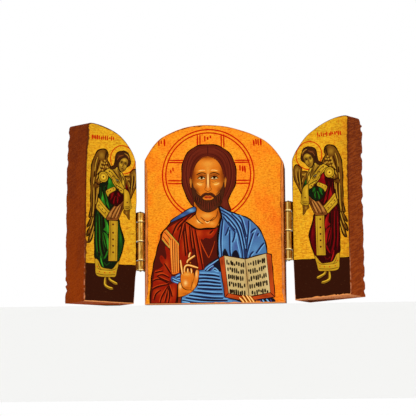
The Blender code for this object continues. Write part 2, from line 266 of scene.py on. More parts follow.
class Picture:
    """A flat painting on a board, built up as a painter would: areas first, then strokes over them."""

    def __init__(self, ground, rim, colours={}, tints=()):
        self.rim, self.layers, self.marks = np.array(rim), [], []
        self.colours = {**pigments, **colours}
        self.stretch, self.shift = np.ones(2), np.zeros(2)
        # The hand's unsteadiness, the same in each run.
        self.hand = np.random.default_rng(7)
        self.lay(ground, self.rim, tints, leaf=1.0)

    def lay(self, pigment, outline, glows=(), leaf=0.0):
        """One patch of paint over all before it; a glow is a soft spot of another pigment in it."""
        outline = outline * self.stretch + self.shift
        glows = [(place * self.stretch + self.shift, *rest) for place, *rest in glows]
        self.layers.append((rgb(*self.colours[pigment]), outline, glows, leaf))
        self.marks.append(outline)

    @staticmethod
    def curve(points, closed, step=0.5):
        """A smooth line through points; a point given twice makes a corner."""
        points = np.array(points, float)
        count = len(points)
        ends = (lambda i: i % count) if closed else (lambda i: min(max(i, 0), count - 1))
        line = []
        for i in range(count if closed else count - 1):
            a, b, c, d = (points[ends(i + k)] for k in (-1, 0, 1, 2))
            length = np.hypot(*(c - b))
            if length < 1e-6:
                continue
            for t in np.arange(0.0, 0.999, 1.0 / max(1, round(length / step))):
                bend = 2 * a - 5 * b + 4 * c - d + t * (3 * (b - c) + d - a)
                line.append(b + 0.5 * t * (c - a + t * bend))
        return np.array(line if closed else [*line, points[-1]])

    @staticmethod
    def doubled(points):
        """Every point twice, so that a smooth line through them keeps straight sides."""
        return [point for point in points for _ in (0, 1)]

    @staticmethod
    def sideways(line, closed):
        """Unit steps to the left of a line, one for each of its points."""
        along = (np.roll(line, -1, 0) - np.roll(line, 1, 0)) if closed else np.gradient(line, axis=0)
        along /= np.maximum(np.hypot(*along.T), 1e-9)[:, None]
        return np.stack([-along[:, 1], along[:, 0]], 1)

    def outward(self, outline):
        x, y = outline.T
        anticlockwise = np.sum(x * np.roll(y, -1) - np.roll(x, -1) * y) > 0
        return self.sideways(outline, True) * (-1 if anticlockwise else 1)

    def area(self, pigment, points, glows=(), edge=None, straight=False):
        """A shape filled with paint; edge is (pigment, width) of the dark line round it."""
        line = np.array(points, float) if straight else self.curve(points, True)
        if edge:
            shade, width = edge
            around = self.curve(self.doubled(points), True) if straight else line
            sway = 0.85 + 0.2 * np.sin(0.37 * np.arange(len(around)) + self.hand.uniform(0, 6))
            self.lay(shade, around + self.outward(around) * (width * sway)[:, None])
        self.lay(pigment, line, glows)
        # Loose points in rings round each glow, so that the sheet has corners for its fade.
        for (x, y), wide, high, _, _ in glows:
            for reach in (0.0, 0.4, 0.8, 1.2, 1.7):
                turns = np.linspace(0, 2 * pi, 9)[:-1] + reach if reach else np.zeros(1)
                ring = np.stack([x + wide * reach * np.cos(turns), y + high * reach * np.sin(turns)], 1)
                self.marks.append((ring * self.stretch + self.shift)[:, None])

    def line(self, pigment, width, *strokes):
        """Brush strokes, full in the middle and thin where the brush lands and lifts."""
        for stroke in strokes:
            line = self.curve(stroke, False, 0.6)
            if len(line) < 3:
                line = np.linspace(line[0], line[-1], 4)
            t = np.linspace(0.0, 1.0, len(line))
            waver = 1 + 0.12 * np.sin(9 * t + self.hand.uniform(0, 6))
            half = 0.5 * width * (0.35 + 0.75 * np.sin(pi * (0.08 + 0.84 * t)) ** 0.6 * waver)
            away = self.sideways(line, False) * half[:, None]
            self.lay(pigment, np.concatenate([line + away, (line - away)[::-1]]))

    def pleats(self, shade, dark, light, width, *strokes):
        """Folds of cloth: a soft shadow with a dark heart, and a lit edge to the left as the brush runs."""
        for stroke in strokes:
            line = self.curve(stroke, False, 0.6)
            lit = line + 0.95 * width * self.sideways(line, False)
            self.line(shade, 1.2 * width, line)
            self.line(dark, 0.58 * width, line)
            self.line(light, 0.5 * width, lit[len(lit) // 12:len(lit) - len(lit) // 6])

    def folds(self, pigment, width, count, *leading):
        """Strokes spread evenly from the first leading one to the last, by way of those between."""
        led = []
        for stroke in leading:
            line = self.curve(stroke, False)
            led.append(line[np.linspace(0, len(line) - 1, 7).round().astype(int)])
        for place in np.linspace(0, len(led) - 1, count):
            i = min(int(place), len(led) - 2)
            self.line(pigment, width, led[i] + (place - i) * (led[i + 1] - led[i]))

    def ring(self, pigment, width, middle, radius):
        turns = np.linspace(0, 2 * pi, 97)
        edge = [np.stack([middle[0] + r * np.cos(turns), middle[1] + r * np.sin(turns)], 1)
                for r in (radius + width / 2, radius - width / 2)]
        self.lay(pigment, np.concatenate([edge[0], edge[1][::-1]]))

    def dots(self, pigment, radius, *middles):
        turns = np.linspace(0, 2 * pi, 13)[:-1] + 0.2
        for x, y in middles:
            self.lay(pigment, np.stack([x + radius * np.cos(turns), y + radius * np.sin(turns)], 1))

    def rows(self, pigment, rows, height, seed, bold, close):
        """Rows of short upright strokes, none touching, that spell nothing, where lettering stood."""
        hand = np.random.default_rng(seed)
        for start, end in rows:
            start, end = np.array(start, float), np.array(end, float)
            length = np.hypot(*(end - start))
            t = 0.2
            while t < length - 0.2:
                x, y = start + (end - start) * t / length
                tall = height * hand.choice((0.5, 0.75, 0.9, 1.0))
                y -= (height - tall) * hand.choice((0.0, 0.4, 1.0))
                lean = hand.uniform(0.0, 0.1) * tall
                self.line(pigment, bold * hand.uniform(0.85, 1.2), [(x, y), (x + lean, y - tall)])
                t += close * hand.uniform(0.8, 1.2)

    def worn_rim(self, pigment, width, where):
        """Paint chipped back from the board's edge; where gives 0 to 1 for (across, height)."""
        rim = self.curve(self.doubled(self.rim), True, 0.6)
        inward = -self.outward(rim)
        x, y = rim.T
        count = len(rim)
        chips = np.tile(self.hand.normal(size=count), 3)
        ragged = 2.0 * np.abs(np.convolve(chips, np.ones(5) / 5, "same")[count:2 * count])
        depth = width * (0.35 + ragged * (0.6 + 0.6 * np.sin(np.arange(count) * 0.045))) * where(x, y)
        self.stretch, self.shift = np.ones(2), np.zeros(2)
        outer, inner = rim - 0.3 * inward, rim + inward * depth[:, None]
        self.lay(pigment, np.concatenate([outer, outer[:1], inner[::-1], inner[-1:]]))

    @staticmethod
    def inside(points, outline):
        """Which points lie within outline, however it crosses itself."""
        found = np.zeros(len(points), bool)
        low, high = outline.min(0), outline.max(0)
        near = np.nonzero(((points >= low) & (points <= high)).all(1))[0]
        if len(near):
            x, y = points[near].T[:, :, None]
            (ax, ay), (bx, by) = outline.T, np.roll(outline, -1, 0).T
            turn = (bx - ax) * (y - ay) - (x - ax) * (by - ay)
            up = ((ay <= y) & (by > y) & (turn > 0)).sum(1)
            down = ((ay > y) & (by <= y) & (turn < 0)).sum(1)
            found[near] = up != down
        return found

    def mesh(self, name, to_board, mirrored=False):
        """One sheet of triangles along every outline, each in the paint on top there, facing forwards."""
        low, high = self.rim.min(0), self.rim.max(0)
        spacing, wander, least_gap = 0.9, 0.25, 1e-4
        across, up = (np.arange(a, b, spacing) for a, b in zip(low, high))
        grid = np.stack(np.meshgrid(across, up), -1).reshape(-1, 2)
        grid = grid + self.hand.uniform(-wander, wander, grid.shape)
        # The triangles keep to every outline, and the loose points fill the room between.
        spots, edges, seen = [], [], 0
        for mark in self.marks + [grid[:, None]]:
            outline = mark.ndim == 2
            mark = mark.reshape(-1, 2)
            if outline:
                edges += [(seen + i, seen + (i + 1) % len(mark)) for i in range(len(mark))]
            else:
                mark = mark[self.inside(mark, self.rim)]
            spots.append(mark)
            seen += len(mark)
        spots = [Vector(spot) for spot in np.concatenate(spots)]
        verts, _, faces, *_ = delaunay_2d_cdt(spots, edges, [], 0, least_gap, False)
        verts, faces = np.array([tuple(v) for v in verts]), np.array(faces)
        faces = faces[self.inside(verts[faces].mean(1), self.rim)]
        used, faces = np.unique(faces, return_inverse=True)
        verts, faces = verts[used], faces.reshape(-1, 3)[:, ::-1 if mirrored else 1]

        # The colour at each corner, and in its alpha how much of it is bare gold ground.
        corners, middles = verts[faces], verts[faces].mean(1)
        paint = np.zeros((len(faces), 3, 4))
        for colour, outline, glows, leaf in self.layers:
            mine = self.inside(middles, outline)
            shades = np.broadcast_to(np.array(colour), (mine.sum(), 3, 3)).copy()
            for place, wide, high, pigment, strength in glows:
                reach = (((corners[mine] - place) / (wide, high)) ** 2).sum(-1)
                amount = (strength * np.exp(-1.4 * reach))[..., None]
                shades += amount * (np.array(rgb(*self.colours[pigment])) - shades)
            paint[mine] = np.concatenate([shades, np.full((*shades.shape[:2], 1), leaf)], -1)
        mesh = bpy.data.meshes.new(name)
        mesh.from_pydata([to_board(*v) for v in verts], [], faces.tolist())
        layer = mesh.attributes.new("paint", "FLOAT_COLOR", "CORNER")
        layer.data.foreach_set("color", paint.reshape(-1))
        return mesh


def front_rim(node, turn, about, front):
    """The outline of a board's flat front, as (across, height) in the board's own millimetres."""
    board = bmesh.new()
    board.from_mesh(node.data)
    to_board = Matrix.Diagonal((1000, 1000, 1000, 1)) @ Matrix.Rotation(-radians(turn), 4, "Z")
    bmesh.ops.transform(board, verts=board.verts,
                        matrix=to_board @ Matrix.Translation(-Vector(about)) @ node.matrix_world)
    bmesh.ops.remove_doubles(board, verts=board.verts, dist=0.002)
    flat = {f for f in board.faces if all(abs(v.co.y - front) < 0.02 for v in f.verts)}
    ring = {}
    for edge in board.edges:
        touching = [f for f in edge.link_faces if f in flat]
        if len(touching) == 1:
            first, second = edge.verts
            ring.setdefault(first, []).append(second)
            ring.setdefault(second, []).append(first)
    start = here = max(ring, key=lambda v: v.co.x)
    before, loop = None, []
    while here is not start or not loop:
        loop.append((here.co.x, here.co.z))
        here, before = next(v for v in ring[here] if v is not before), here
    board.free()
    return loop


def varnished(name, turn, about, patches, dashes):
    """The painting under its varnish; patches and dashes say how far the gold is clouded and cracked."""
    film = Finish(name)
    point = film.place(turn, about)
    paint = film.node("ShaderNodeAttribute", {"attribute_name": "paint"}, out="Color")
    leaf = film.node("ShaderNodeAttribute", {"attribute_name": "paint"}, out="Alpha")
    clouds = film.noise(point, detail=4.0, roughness=0.6, distortion=0.4, scale=0.08)
    dabs = film.noise(point, (1.1, 1.0, 0.7), 3.0, 0.6)
    threads = film.noise(point, (2.6, 1.0, 0.45), 3.0, 0.62)
    specks = film.noise(point, (0.7, 1.0, 0.35), 2.0, 0.6)
    runs = film.noise(point, (0.7, 1.0, 4.0), 3.0, 0.65)
    right_side = film.parts(point)[0].above(20.0, 10.0)

    def toned(colour, tint):
        return film.mix(1.0, colour, tint, "MULTIPLY")

    # The gold: warm and cool clouds in the leaf, then dabs, threads, runs and specks of the worn clay.
    ground = film.layered(paint, (clouds.above(0.52, 0.10) * patches, toned(paint, (0.96, 0.66, 0.7))),
                          (clouds.below(0.45, 0.10) * 0.4, toned(paint, (0.84, 0.92, 1.0))))
    for amount, tint in ((dabs.above(0.54, 0.07) * 0.75, (0.82, 0.62, 0.5)),
                         (dabs.below(0.44, 0.07) * 0.5, (1.06, 1.16, 1.8)),
                         (threads.above(0.57, 0.05) * dashes, (0.62, 0.50, 0.6)),
                         (runs.above(0.60, 0.05) * right_side * 0.6, (0.86, 0.50, 0.5)),
                         (specks.above(0.65, 0.04) * 0.8, (0.44, 0.30, 0.5))):
        ground = film.mix(amount, ground, toned(ground, tint))

    # The paint over it: thick and thin strokes, and a little dust.
    strokes = film.layered(paint, (threads.above(0.55, 0.12) * 0.20, toned(paint, (0.6, 0.55, 0.55))),
                           (dabs.above(0.56, 0.12) * 0.22, toned(paint, (1.4, 1.3, 1.2))),
                           (specks.above(0.73, 0.02) * 0.3, rgb(190, 130, 80)))
    return film.set(Base_Color=film.mix(leaf, strokes, ground), Roughness=0.4 + 0.2 * dabs,
                    Specular_IOR_Level=0.02, Normal=film.bump(0.5 * threads + 0.4 * dabs, 0.03, 0.6))


def placed(name, mesh, material):
    """A new piece of the triptych, its mesh already in its true place."""
    piece = bpy.data.objects.new(name, mesh)
    bpy.context.scene.collection.objects.link(piece)
    piece.data.materials.append(material)
    return piece


centre = Picture("centre_gold", front_rim(nodes["centre_panel"], 0.0, (0.0, 0.0, 0.0), centre_front),
                 tints=[((-2, 70), 28, 26, "gold_warm", 0.9), ((34, 34), 14, 34, "gold_red", 0.4)])

# The halo: two rings behind the head, with the arms of a cross as pairs of lines.
halo = (-3.1, 70.0)
for radius in (23.1, 24.9):
    centre.ring("line_red", 0.73, halo, radius)
for across in (-8.8, -7.4, 4.2, 5.6):
    centre.line("line_red", 0.7, [(across, 92.2), (across, 84.8)])
for left, right in ((78.4, 77.7), (77.2, 76.6), (67.2, 66.7), (65.6, 65.1)):
    centre.line("line_red", 0.7, [(-25.2, left), (-16.2, left - 0.2)], [(11.2, right), (19.6, right - 0.1)])

# Red marks on the gold, as (across, height, width, tallness) of five places. Each is filled
# with a few separate strokes that spell nothing.
mark_places = ((-30.2, 90.2, 4.0, 3.9), (21.6, 89.7, 5.0, 4.1), (-5.0, 91.6, 4.2, 3.2),
               (-23.7, 75.3, 2.2, 4.2), (14.0, 75.1, 3.6, 4.2))
for seed, (across, height, wide, tall) in enumerate(mark_places, 20):
    centre.rows("line_red", [((across, height), (across + wide, height))], tall, seed, 0.8, 1.4)
centre.line("line_red", 0.8, [(-30.4, 92.0), (-28.2, 92.2), (-26.0, 92.0)],
            [(21.4, 91.5), (23.8, 91.4), (26.2, 91.0)])

# Hair behind the neck and shoulders.
centre.area("hair", [(-10.4, 52.6), (-13.1, 55.3), (-16.8, 64.2), (-17.1, 74.1), (-16, 78.7), (-13.8, 82.5),
    (-10.7, 84.9), (-6.9, 86.2), (1.3, 86), (8.4, 81.5), (11.7, 73.5), (11.4, 64.7), (8, 57.7), (7.4, 55.5),
    (8.6, 51.3), (7.8, 49.5), (5.3, 48.8), (2.1, 49.6), (-3.4, 48.6)],
    [((-3.1, 83.1), 8.7, 2.2, "hair_warm", 0.6), ((-14.6, 68.5), 2.2, 7.6, "hair_warm", 0.5),
     ((5.7, 53.9), 1.7, 3.8, "hair_warm", 0.7)], edge=("soot", 0.6))
centre.line("hair_warm", 0.27,
    [(-9.6, 84.1), (-13.5, 80.6), (-15.3, 75.1), (-15.7, 68.5), (-14.3, 61.9), (-12, 57)],
    [(-6.9, 84.7), (-11.5, 81.6), (-13.7, 76.7), (-14.3, 70.2), (-13.4, 64.1)],
    [(1.9, 84.2), (6.7, 81.3), (9.4, 76.3), (10.2, 69.7), (8.9, 63.1), (6.5, 57.7)],
    [(-0.3, 84.6), (4.8, 81.9), (7.7, 77.4), (8.6, 71.4), (8, 65.3)],
    [(4.3, 56.7), (5.7, 53.9), (5.6, 50.6)], [(6.5, 56.1), (7.1, 53.3), (6.8, 50.6)])
centre.line("hair_deep", 0.32,
    [(-8.2, 84.7), (-12.6, 81.2), (-14.6, 76), (-15.1, 69.4), (-14, 63), (-11.4, 56.4)],
    [(0.8, 84.7), (5.9, 81.6), (8.5, 76.9), (9.5, 70.3), (8.5, 63.7), (5.7, 57.7)])

# Neck and breast.
centre.area("skin", [(-9.8, 56.4), (-10.1, 49.8), (-10.4, 48.5), (-16.2, 45.1), (-16.2, 45.1), (-13.9, 43.8),
    (-11.9, 41.9), (-9.7, 41), (-0.2, 41), (2.9, 46.3), (3.1, 52.9), (3, 56.1)],
    [((-3.9, 47.7), 3.3, 1.6, "skin_light", 0.8), ((-8.3, 44.3), 1.9, 1.4, "skin_light", 0.8),
     ((-1.2, 43.4), 1.7, 1.1, "skin_light", 0.7), ((2.6, 48.5), 1.7, 4.9, "skin_dark", 0.9),
     ((-14.8, 45.2), 1.6, 1.3, "skin_dark", 0.7), ((-9.6, 53.1), 1.3, 3.2, "skin_dark", 0.8),
     ((-3.3, 51.1), 4.9, 1.4, "skin_dark", 0.8)], edge=("umber", 0.49))
centre.line("skin_deep", 0.43, [(-10.2, 49.3), (-9.6, 46.8), (-7.9, 44.4), (-5.8, 43.2)],
    [(-7.4, 47), (-3.7, 44.4), (0.2, 46.9)], [(1.9, 50.2), (1.3, 47.4), (-0.3, 45.5), (-2.3, 44.8)])
centre.line("skin_pale", 0.38, [(-9.5, 45.5), (-8.6, 44.3), (-7.5, 43.8)],
    [(-5, 44.7), (-3.7, 43.7), (-2.5, 44.6)])

# The tunic: dark folds first, then the lit cloth.
centre.area("maroon", [(-10.6, 52.2), (-14.2, 50.7), (-21.3, 46.2), (-28.1, 38.7), (-29.2, 35.4),
    (-31.9, 25.7), (-33.9, 15.4), (-35, 0.5), (-35, 0.5), (-17.3, 0.3), (-17.3, 0.3), (6, 0.8), (5, 12.6),
    (4.5, 22.4), (2.8, 40.9), (0.9, 40.7), (-5, 40.5), (-9.9, 40.7), (-14.8, 44), (-16.2, 45.1),
    (-13.1, 46.9), (-10.2, 49.1)], [((-25.2, 37), 3.3, 4.3, "soot", 0.3)], edge=("soot", 0.65))
centre.area("red", [(-15, 47.3), (-23.5, 42.4), (-25.4, 40.7), (-23, 37.7), (-19.1, 33.1), (-18.3, 36.9),
    (-17, 40.3), (-16.1, 44.4)],
    [((-21.3, 41.3), 1.8, 3.2, "red_bright", 0.6), ((-18.1, 36.9), 1.3, 2.7, "red_bright", 0.5)])
centre.area("red", [(-15.7, 44.3), (-13.2, 42.7), (-10.5, 40.4), (-5, 40), (-0.2, 40.3), (1.8, 40.8),
    (-0.3, 36.6), (-2.4, 35.2), (-4.8, 35.6), (-6.2, 34.5), (-6.9, 35.3), (-7.5, 32.3), (-6, 20.9),
    (-5.8, 18.2), (-9, 18.8), (-10, 24.8), (-11.4, 30.8), (-12.6, 25.4), (-14.3, 27), (-15.3, 31.9),
    (-16.2, 41.7)],
    [((-8.3, 38.3), 2.2, 2.7, "red_bright", 0.8), ((-14.3, 39.5), 1, 4.3, "red_bright", 0.8),
     ((-2.6, 38), 2.4, 1.4, "red_bright", 0.6), ((-7.5, 28), 0.9, 6.5, "red_bright", 0.5)])
centre.area("red", [(-18.7, 33.1), (-17.8, 35.8), (-16.8, 39), (-16.2, 34.7), (-14.4, 24.8), (-15.5, 19.4),
    (-17.7, 17.3), (-19.1, 19.5), (-19, 26)], [((-16.8, 31.4), 0.9, 4.9, "red_bright", 0.7)])
centre.line("red_bright", 0.43, [(-7.8, 34.5), (-5.7, 29.6), (-3.3, 24.9)],
    [(0.2, 33.8), (-1.3, 29), (-3.1, 24.7)])
centre.pleats("maroon", "soot_red", "red_bright", 0.72, [(-12.4, 48.7), (-18.6, 42.3), (-20, 39.9)],
    [(-17, 46), (-20.5, 42.6), (-22.9, 37.3)], [(-17.2, 44), (-19, 36.3), (-19.5, 33.4)],
    [(-15.9, 44.1), (-15.4, 37.9), (-14, 26.5)], [(-12.5, 41.9), (-10.8, 31.3), (-9, 19.3)],
    [(-10.4, 40.3), (-6.9, 21.5), (-6.5, 18.2)], [(-0.7, 39.7), (-2.6, 37.9)],
    [(-16.8, 40.1), (-16.2, 32.5), (-15.6, 25.9)], [(-13.4, 42.2), (-12.9, 35.7), (-11.9, 28.1)])
centre.area("maroon",
    [(-5.6, 34.3), (-2.4, 34.4), (0.1, 35.7), (-0.1, 32.8), (-1.6, 28.7), (-3.1, 25.5), (-4.6, 28.8)])
centre.line("soot", 0.54, [(-16.1, 44.9), (-9.9, 40.6), (-4.7, 40.3), (0.2, 40.6), (2.2, 42.2)])

# An ochre band from the shoulder down.
centre.area("ochre_red", [(-27.1, 39.8), (-25.9, 40.5), (-25.9, 40.5), (-19.3, 32.6), (-19.3, 32.6),
    (-19.2, 17), (-19.2, 17), (-21.8, 16.1), (-23.2, 16.3), (-23.2, 16.3), (-24.1, 30.1), (-24.1, 30.1),
    (-28.6, 35.2), (-28.6, 35.2), (-28.1, 37.9)],
    [((-26.3, 36.5), 1.8, 2.2, "ochre_light", 0.3), ((-23.4, 31.5), 0.8, 7.6, "ochre_light", 0.3)],
    edge=("soot_red", 0.38))
centre.line("olive_gold", 0.49, [(-26.3, 40.4), (-23.2, 36.9), (-19.5, 32.5), (-19.4, 31.8)],
    [(-24.3, 36.2), (-24.5, 33.2), (-24.2, 30.8)], [(-28.4, 35.2), (-26.5, 33), (-24.4, 30.4)])
centre.line("soot_red", 0.38, [(-27.1, 39.2), (-24.8, 36.4), (-23.4, 34.6)],
    [(-22.8, 35.3), (-22.6, 26.1), (-22.4, 16.8)], [(-21.5, 34.2), (-21.5, 26), (-21.4, 16.8)],
    [(-20.4, 32.8), (-20.3, 24.9), (-20.2, 17.3)], [(-27.9, 36.7), (-26.1, 34.2), (-24.5, 32.1)])
centre.line("ochre_light", 0.3, [(-22.1, 34.5), (-22, 26), (-21.9, 17.4)],
    [(-20.8, 33.4), (-20.8, 25.5), (-20.8, 17.3)], [(-23.3, 34.8), (-23.2, 26.1), (-22.9, 17.4)],
    [(-19.8, 32), (-19.8, 24.9), (-19.6, 17.9)])

# The sleeve on the raised arm.
centre.area("red", [(-26.8, 31.3), (-24.3, 29.1), (-23.8, 22.8), (-23.5, 16.3), (-24.3, 12.5), (-25.1, 11.1),
    (-31.4, 9.6), (-33.5, 8.4), (-32.9, 15.4), (-32.3, 18.4), (-30.7, 18.9), (-28, 20.9), (-29.2, 22.9),
    (-29.8, 25.1), (-29.1, 26.5), (-27.9, 25.9), (-26.7, 24.2), (-26, 26.1)],
    [((-26, 21.2), 1.4, 3.2, "red_bright", 0.7), ((-29.6, 16.9), 2.7, 0.97, "red_bright", 0.7),
     ((-29.1, 13.4), 2.7, 1.1, "red_bright", 0.5), ((-28.8, 25.1), 0.9, 1.1, "soot_red", 0.4)])
centre.area("red", [(-31.6, 8.6), (-33.6, 6.8), (-34.4, 0.8), (-34.4, 0.8), (-21.6, 0.6), (-21.6, 0.6),
    (-20.7, 4.9), (-20.2, 10.3), (-20.3, 11.3), (-23.1, 11.1)],
    [((-30.8, 6.7), 2.7, 1.6, "red_bright", 0.6), ((-22.3, 6.5), 1, 3.8, "red_bright", 0.7),
     ((-28.6, 2.9), 1.1, 2.2, "red_bright", 0.5), ((-24.1, 2.8), 0.8, 2.2, "red_bright", 0.5),
     ((-32.6, 3.4), 1.1, 2.7, "maroon", 0.5)])
centre.pleats("maroon", "soot_red", "red_bright", 0.66, [(-27.3, 22.1), (-25.5, 19.3), (-23.7, 16.3)],
    [(-32.3, 17.1), (-30.2, 17.6), (-27.8, 18)], [(-31.4, 15), (-29.6, 15.9), (-27.5, 15.8), (-24.5, 14.2)],
    [(-33.7, 12.4), (-31.3, 13.5), (-28.6, 13.2), (-25, 11.1)], [(-30.9, 14.9), (-28, 13.4), (-24.4, 11.9)],
    [(-33.9, 8), (-30.7, 9.6), (-24.6, 10.7)], [(-29.6, 0.7), (-28.4, 4.5), (-25, 10)],
    [(-27.1, 0.7), (-26.2, 4.1), (-25, 9)], [(-24.9, 10.2), (-23.9, 7.1), (-23.1, 3.9)],
    [(-25.2, 0.6), (-24.5, 4.4), (-24.8, 8.7)], [(-32.9, 2.4), (-31.8, 5.6), (-29.1, 7.7)],
    [(-20.1, 11.1), (-20.3, 5.4), (-21, 0.6)])
centre.area("ember", [(-20, 4), (-18, 4.1), (-18.3, 0.4), (-20.5, 0.4)])
centre.line("soot", 0.6, [(-20, 4.1), (-20.4, 0.6)], [(-17.9, 4.3), (-18.3, 0.5)])

# A blue sash wound round the waist, its folds spread between a few leading ones.
centre.area("blue_deep", [(-23.3, 14.8), (-21.5, 15), (-18.8, 16.5), (-18.3, 10.9), (-23.2, 12.2)])
centre.line("blue_light", 0.54, [(-22.8, 14.1), (-21.3, 13.3), (-18.6, 12.3)],
    [(-22.6, 12.7), (-21, 11.8), (-18.5, 11.4)], [(-21, 15), (-18.7, 15.9)],
    [(-21.2, 14.4), (-19.9, 13.8), (-18.6, 14)])
centre.line("navy", 0.43, [(-23.1, 13.4), (-21, 12.5), (-18.6, 11.8)], [(-21, 14), (-19, 14.6)])
centre.area("blue", [(-8.7, 17.4), (-6, 18.2), (-4.5, 20), (0.8, 23.8), (2.7, 24.6), (4, 22.4), (5.5, 10.5),
    (6.5, 3.4), (11.4, 1.5), (15.1, 0.1), (15.1, 0.1), (-18, 0.3), (-18, 0.3), (-17.1, 4.5), (-11.8, 7.4),
    (-9.6, 9.6), (-8.4, 12.8)],
    [((-5.8, 11.2), 5.4, 1.6, "blue_violet", 0.5), ((-4.3, 4.1), 6.5, 1.1, "blue_violet", 0.4),
     ((-13.4, 5.3), 2.7, 1.1, "blue_light", 0.7)], edge=("navy", 0.6))
centre.area("navy", [(-0.9, 23.2), (2.6, 24.8), (4, 22.4), (4.6, 17), (-0.4, 18.3), (-3.1, 17.4),
    (-5.2, 17.9), (-3.6, 19.8)])
centre.line("blue_light", 0.54, [(-5.2, 18.4), (-3.2, 20.3), (2.1, 23.8)],
    [(-4.3, 17.8), (-2.3, 19.6), (-0.6, 20.5)], [(-1.2, 17.9), (0, 19.2), (2.1, 17.5)],
    [(-0.4, 18), (0.7, 17.5), (2.2, 17.1)])
centre.line("blue_violet", 0.43, [(-4.7, 18.1), (-2.7, 19.9), (0.2, 22.1)],
    [(-2.3, 17.6), (-1, 19.5), (0.1, 19.7)])
sash_folds = ([(-8.3, 16.7), (-0.9, 16.2), (2.6, 15.4)], [(-8.5, 12.7), (-4.7, 12.9), (3.2, 11.8)],
              [(-9.4, 9.2), (-0.4, 8.6), (3.9, 8.5)], [(-14, 5.7), (-2.6, 4.1), (4.6, 3.8)],
              [(-17.6, 2.9), (-12.4, 1.8), (-5.9, 1.2), (9.2, 1.2)])
for pigment, width, drop in (("blue_light", 0.55, 0.0), ("blue_deep", 1.2, 0.95), ("navy", 0.72, 1.0)):
    lowered = [[(across, height - drop) for across, height in fold] for fold in sash_folds]
    centre.folds(pigment, width, 9, *lowered)
centre.line("blue_light", 0.6, [(-17.6, 1.4), (-13.5, 0.6)])

# The mantle over the left shoulder, and its collar.
centre.area("blue_deep",
    [(-10.4, 52.4), (-12.9, 51.8), (-21.3, 46.7), (-23.6, 44.6), (-21, 45.5), (-13.5, 49), (-10.2, 50.3)],
    [((-12.6, 50.7), 2.2, 1.1, "blue_light", 0.9), ((-16.9, 48.1), 2.2, 0.87, "blue", 0.8)],
    edge=("soot", 0.54))
centre.area("blue", [(2.9, 52.6), (2.9, 52.6), (8.6, 49.3), (17.2, 46.1), (23.1, 41.1), (26.8, 34),
    (28.2, 26.7), (28.2, 26.7), (17.5, 23.3), (5.4, 25.1), (2.6, 24.6), (2.6, 24.6), (2, 28.9), (2.4, 39.8),
    (4.2, 46.5), (3.4, 49.6)],
    [((21.5, 37.3), 3.3, 3.8, "blue_violet", 0.6), ((17.2, 42.8), 2.2, 3.2, "blue_violet", 0.6),
     ((5.8, 40.8), 1.3, 3.2, "blue_violet", 0.6), ((11.7, 30.9), 2, 3.2, "blue_violet", 0.6),
     ((5.2, 32.7), 1.6, 3.2, "blue_light", 0.3), ((22.4, 29.1), 2.7, 2.7, "blue_light", 0.3),
     ((9.5, 33.7), 1.1, 3.2, "blue_light", 0.5), ((13.9, 38.5), 1.1, 4.3, "blue_light", 0.5)],
    edge=("soot", 0.81))
for hollow in ([(4.3, 26.9), (5.7, 29.7), (7.6, 25.4), (4.9, 25.6)],
               [(9.5, 26.9), (10.8, 28.5), (12.2, 28.4), (13.4, 24.4), (9.8, 24.8)],
               [(16, 30.9), (16.9, 32.2), (17.6, 30.3), (17.3, 24), (16.2, 24)]):
    centre.area("navy", hollow)
centre.pleats("blue_deep", "navy", "blue_light", 0.84,
    [(3.4, 50.9), (9.4, 47), (13.7, 40.7), (15.9, 30.9), (16.3, 24.9)],
    [(4, 48.9), (7.3, 46.5), (12.3, 39.6), (14.6, 29.8), (15.2, 24.4)],
    [(4.8, 47), (10.9, 38.8), (11.3, 37.5)], [(4.7, 46), (3.5, 34.3), (3.8, 25.4)],
    [(7.8, 41.3), (7, 39), (5.9, 36.7)], [(8.3, 39.9), (8.3, 28.8), (8.9, 24.8)],
    [(11.1, 38.3), (10.6, 35.3), (9.7, 32.9)], [(9.3, 48.6), (14.2, 43.4), (16.6, 35.2), (17, 31.9)],
    [(13.1, 47.4), (15, 44.8), (17.3, 35.7)], [(18.6, 44.7), (18.5, 40.1), (17.3, 29.8)],
    [(22.2, 40.3), (20.6, 36.8), (17.9, 28.1), (17.3, 24.4)], [(22.6, 40.5), (20.9, 39.3), (19.6, 37.9)],
    [(26.8, 32.5), (24.8, 30.1), (22.4, 26.7)], [(21.1, 27.9), (19.7, 26.5), (18.8, 24.5)],
    [(7.5, 44.3), (9.6, 41.3), (11.2, 39.6)], [(23.9, 37.8), (23.1, 36.2)])
centre.line("blue_light", 0.51, [(3, 40.9), (2.6, 35.4), (3.1, 25.7)],
    [(12.1, 38), (12.5, 33.1), (14.2, 24.6)])
centre.line("soot", 0.65, [(2.9, 52.5), (4.1, 46.8), (3.1, 43), (1.9, 32.2), (2.3, 26.2)])

# An open book held against the breast, with rows of strokes on both pages.
centre.area("cover", [(2.7, 24.4), (5.4, 25.8), (16.2, 23.7), (27.7, 26.6), (30.5, 25.9), (32.2, 3.3),
    (22.1, 1.8), (14.1, 1.7), (5.6, 3.5)],
    [((4.7, 8.3), 1.6, 4.9, "ember", 0.9), ((4, 22.4), 1.1, 2.7, "maroon", 0.6),
     ((29.9, 18.7), 1.4, 6.5, "maroon", 0.5), ((27, 3.7), 3.3, 0.87, "ember", 0.8),
     ((11.4, 2.8), 3.3, 0.76, "ember", 0.5)], edge=("soot", 0.54), straight=True)
centre.line("soot_red", 0.43, [(5.3, 25.6), (7.3, 5.6)], [(7.3, 5.6), (5.7, 3.5)],
    [(29.7, 5.6), (32.1, 3.4)], [(7.4, 5.4), (18.4, 3.6), (29.7, 5.5)])
centre.line("umber", 0.49, [(16.5, 23.6), (17.2, 16.8), (18.4, 3.8)])
left_page = [(5.3, 25.7), (16.3, 23.6), (18.2, 3.9), (13.5, 4.6), (7.5, 5.5)]
right_page = [(27.8, 26.5), (16.7, 23.6), (18.6, 3.8), (25.4, 4.9), (29.8, 5.7)]
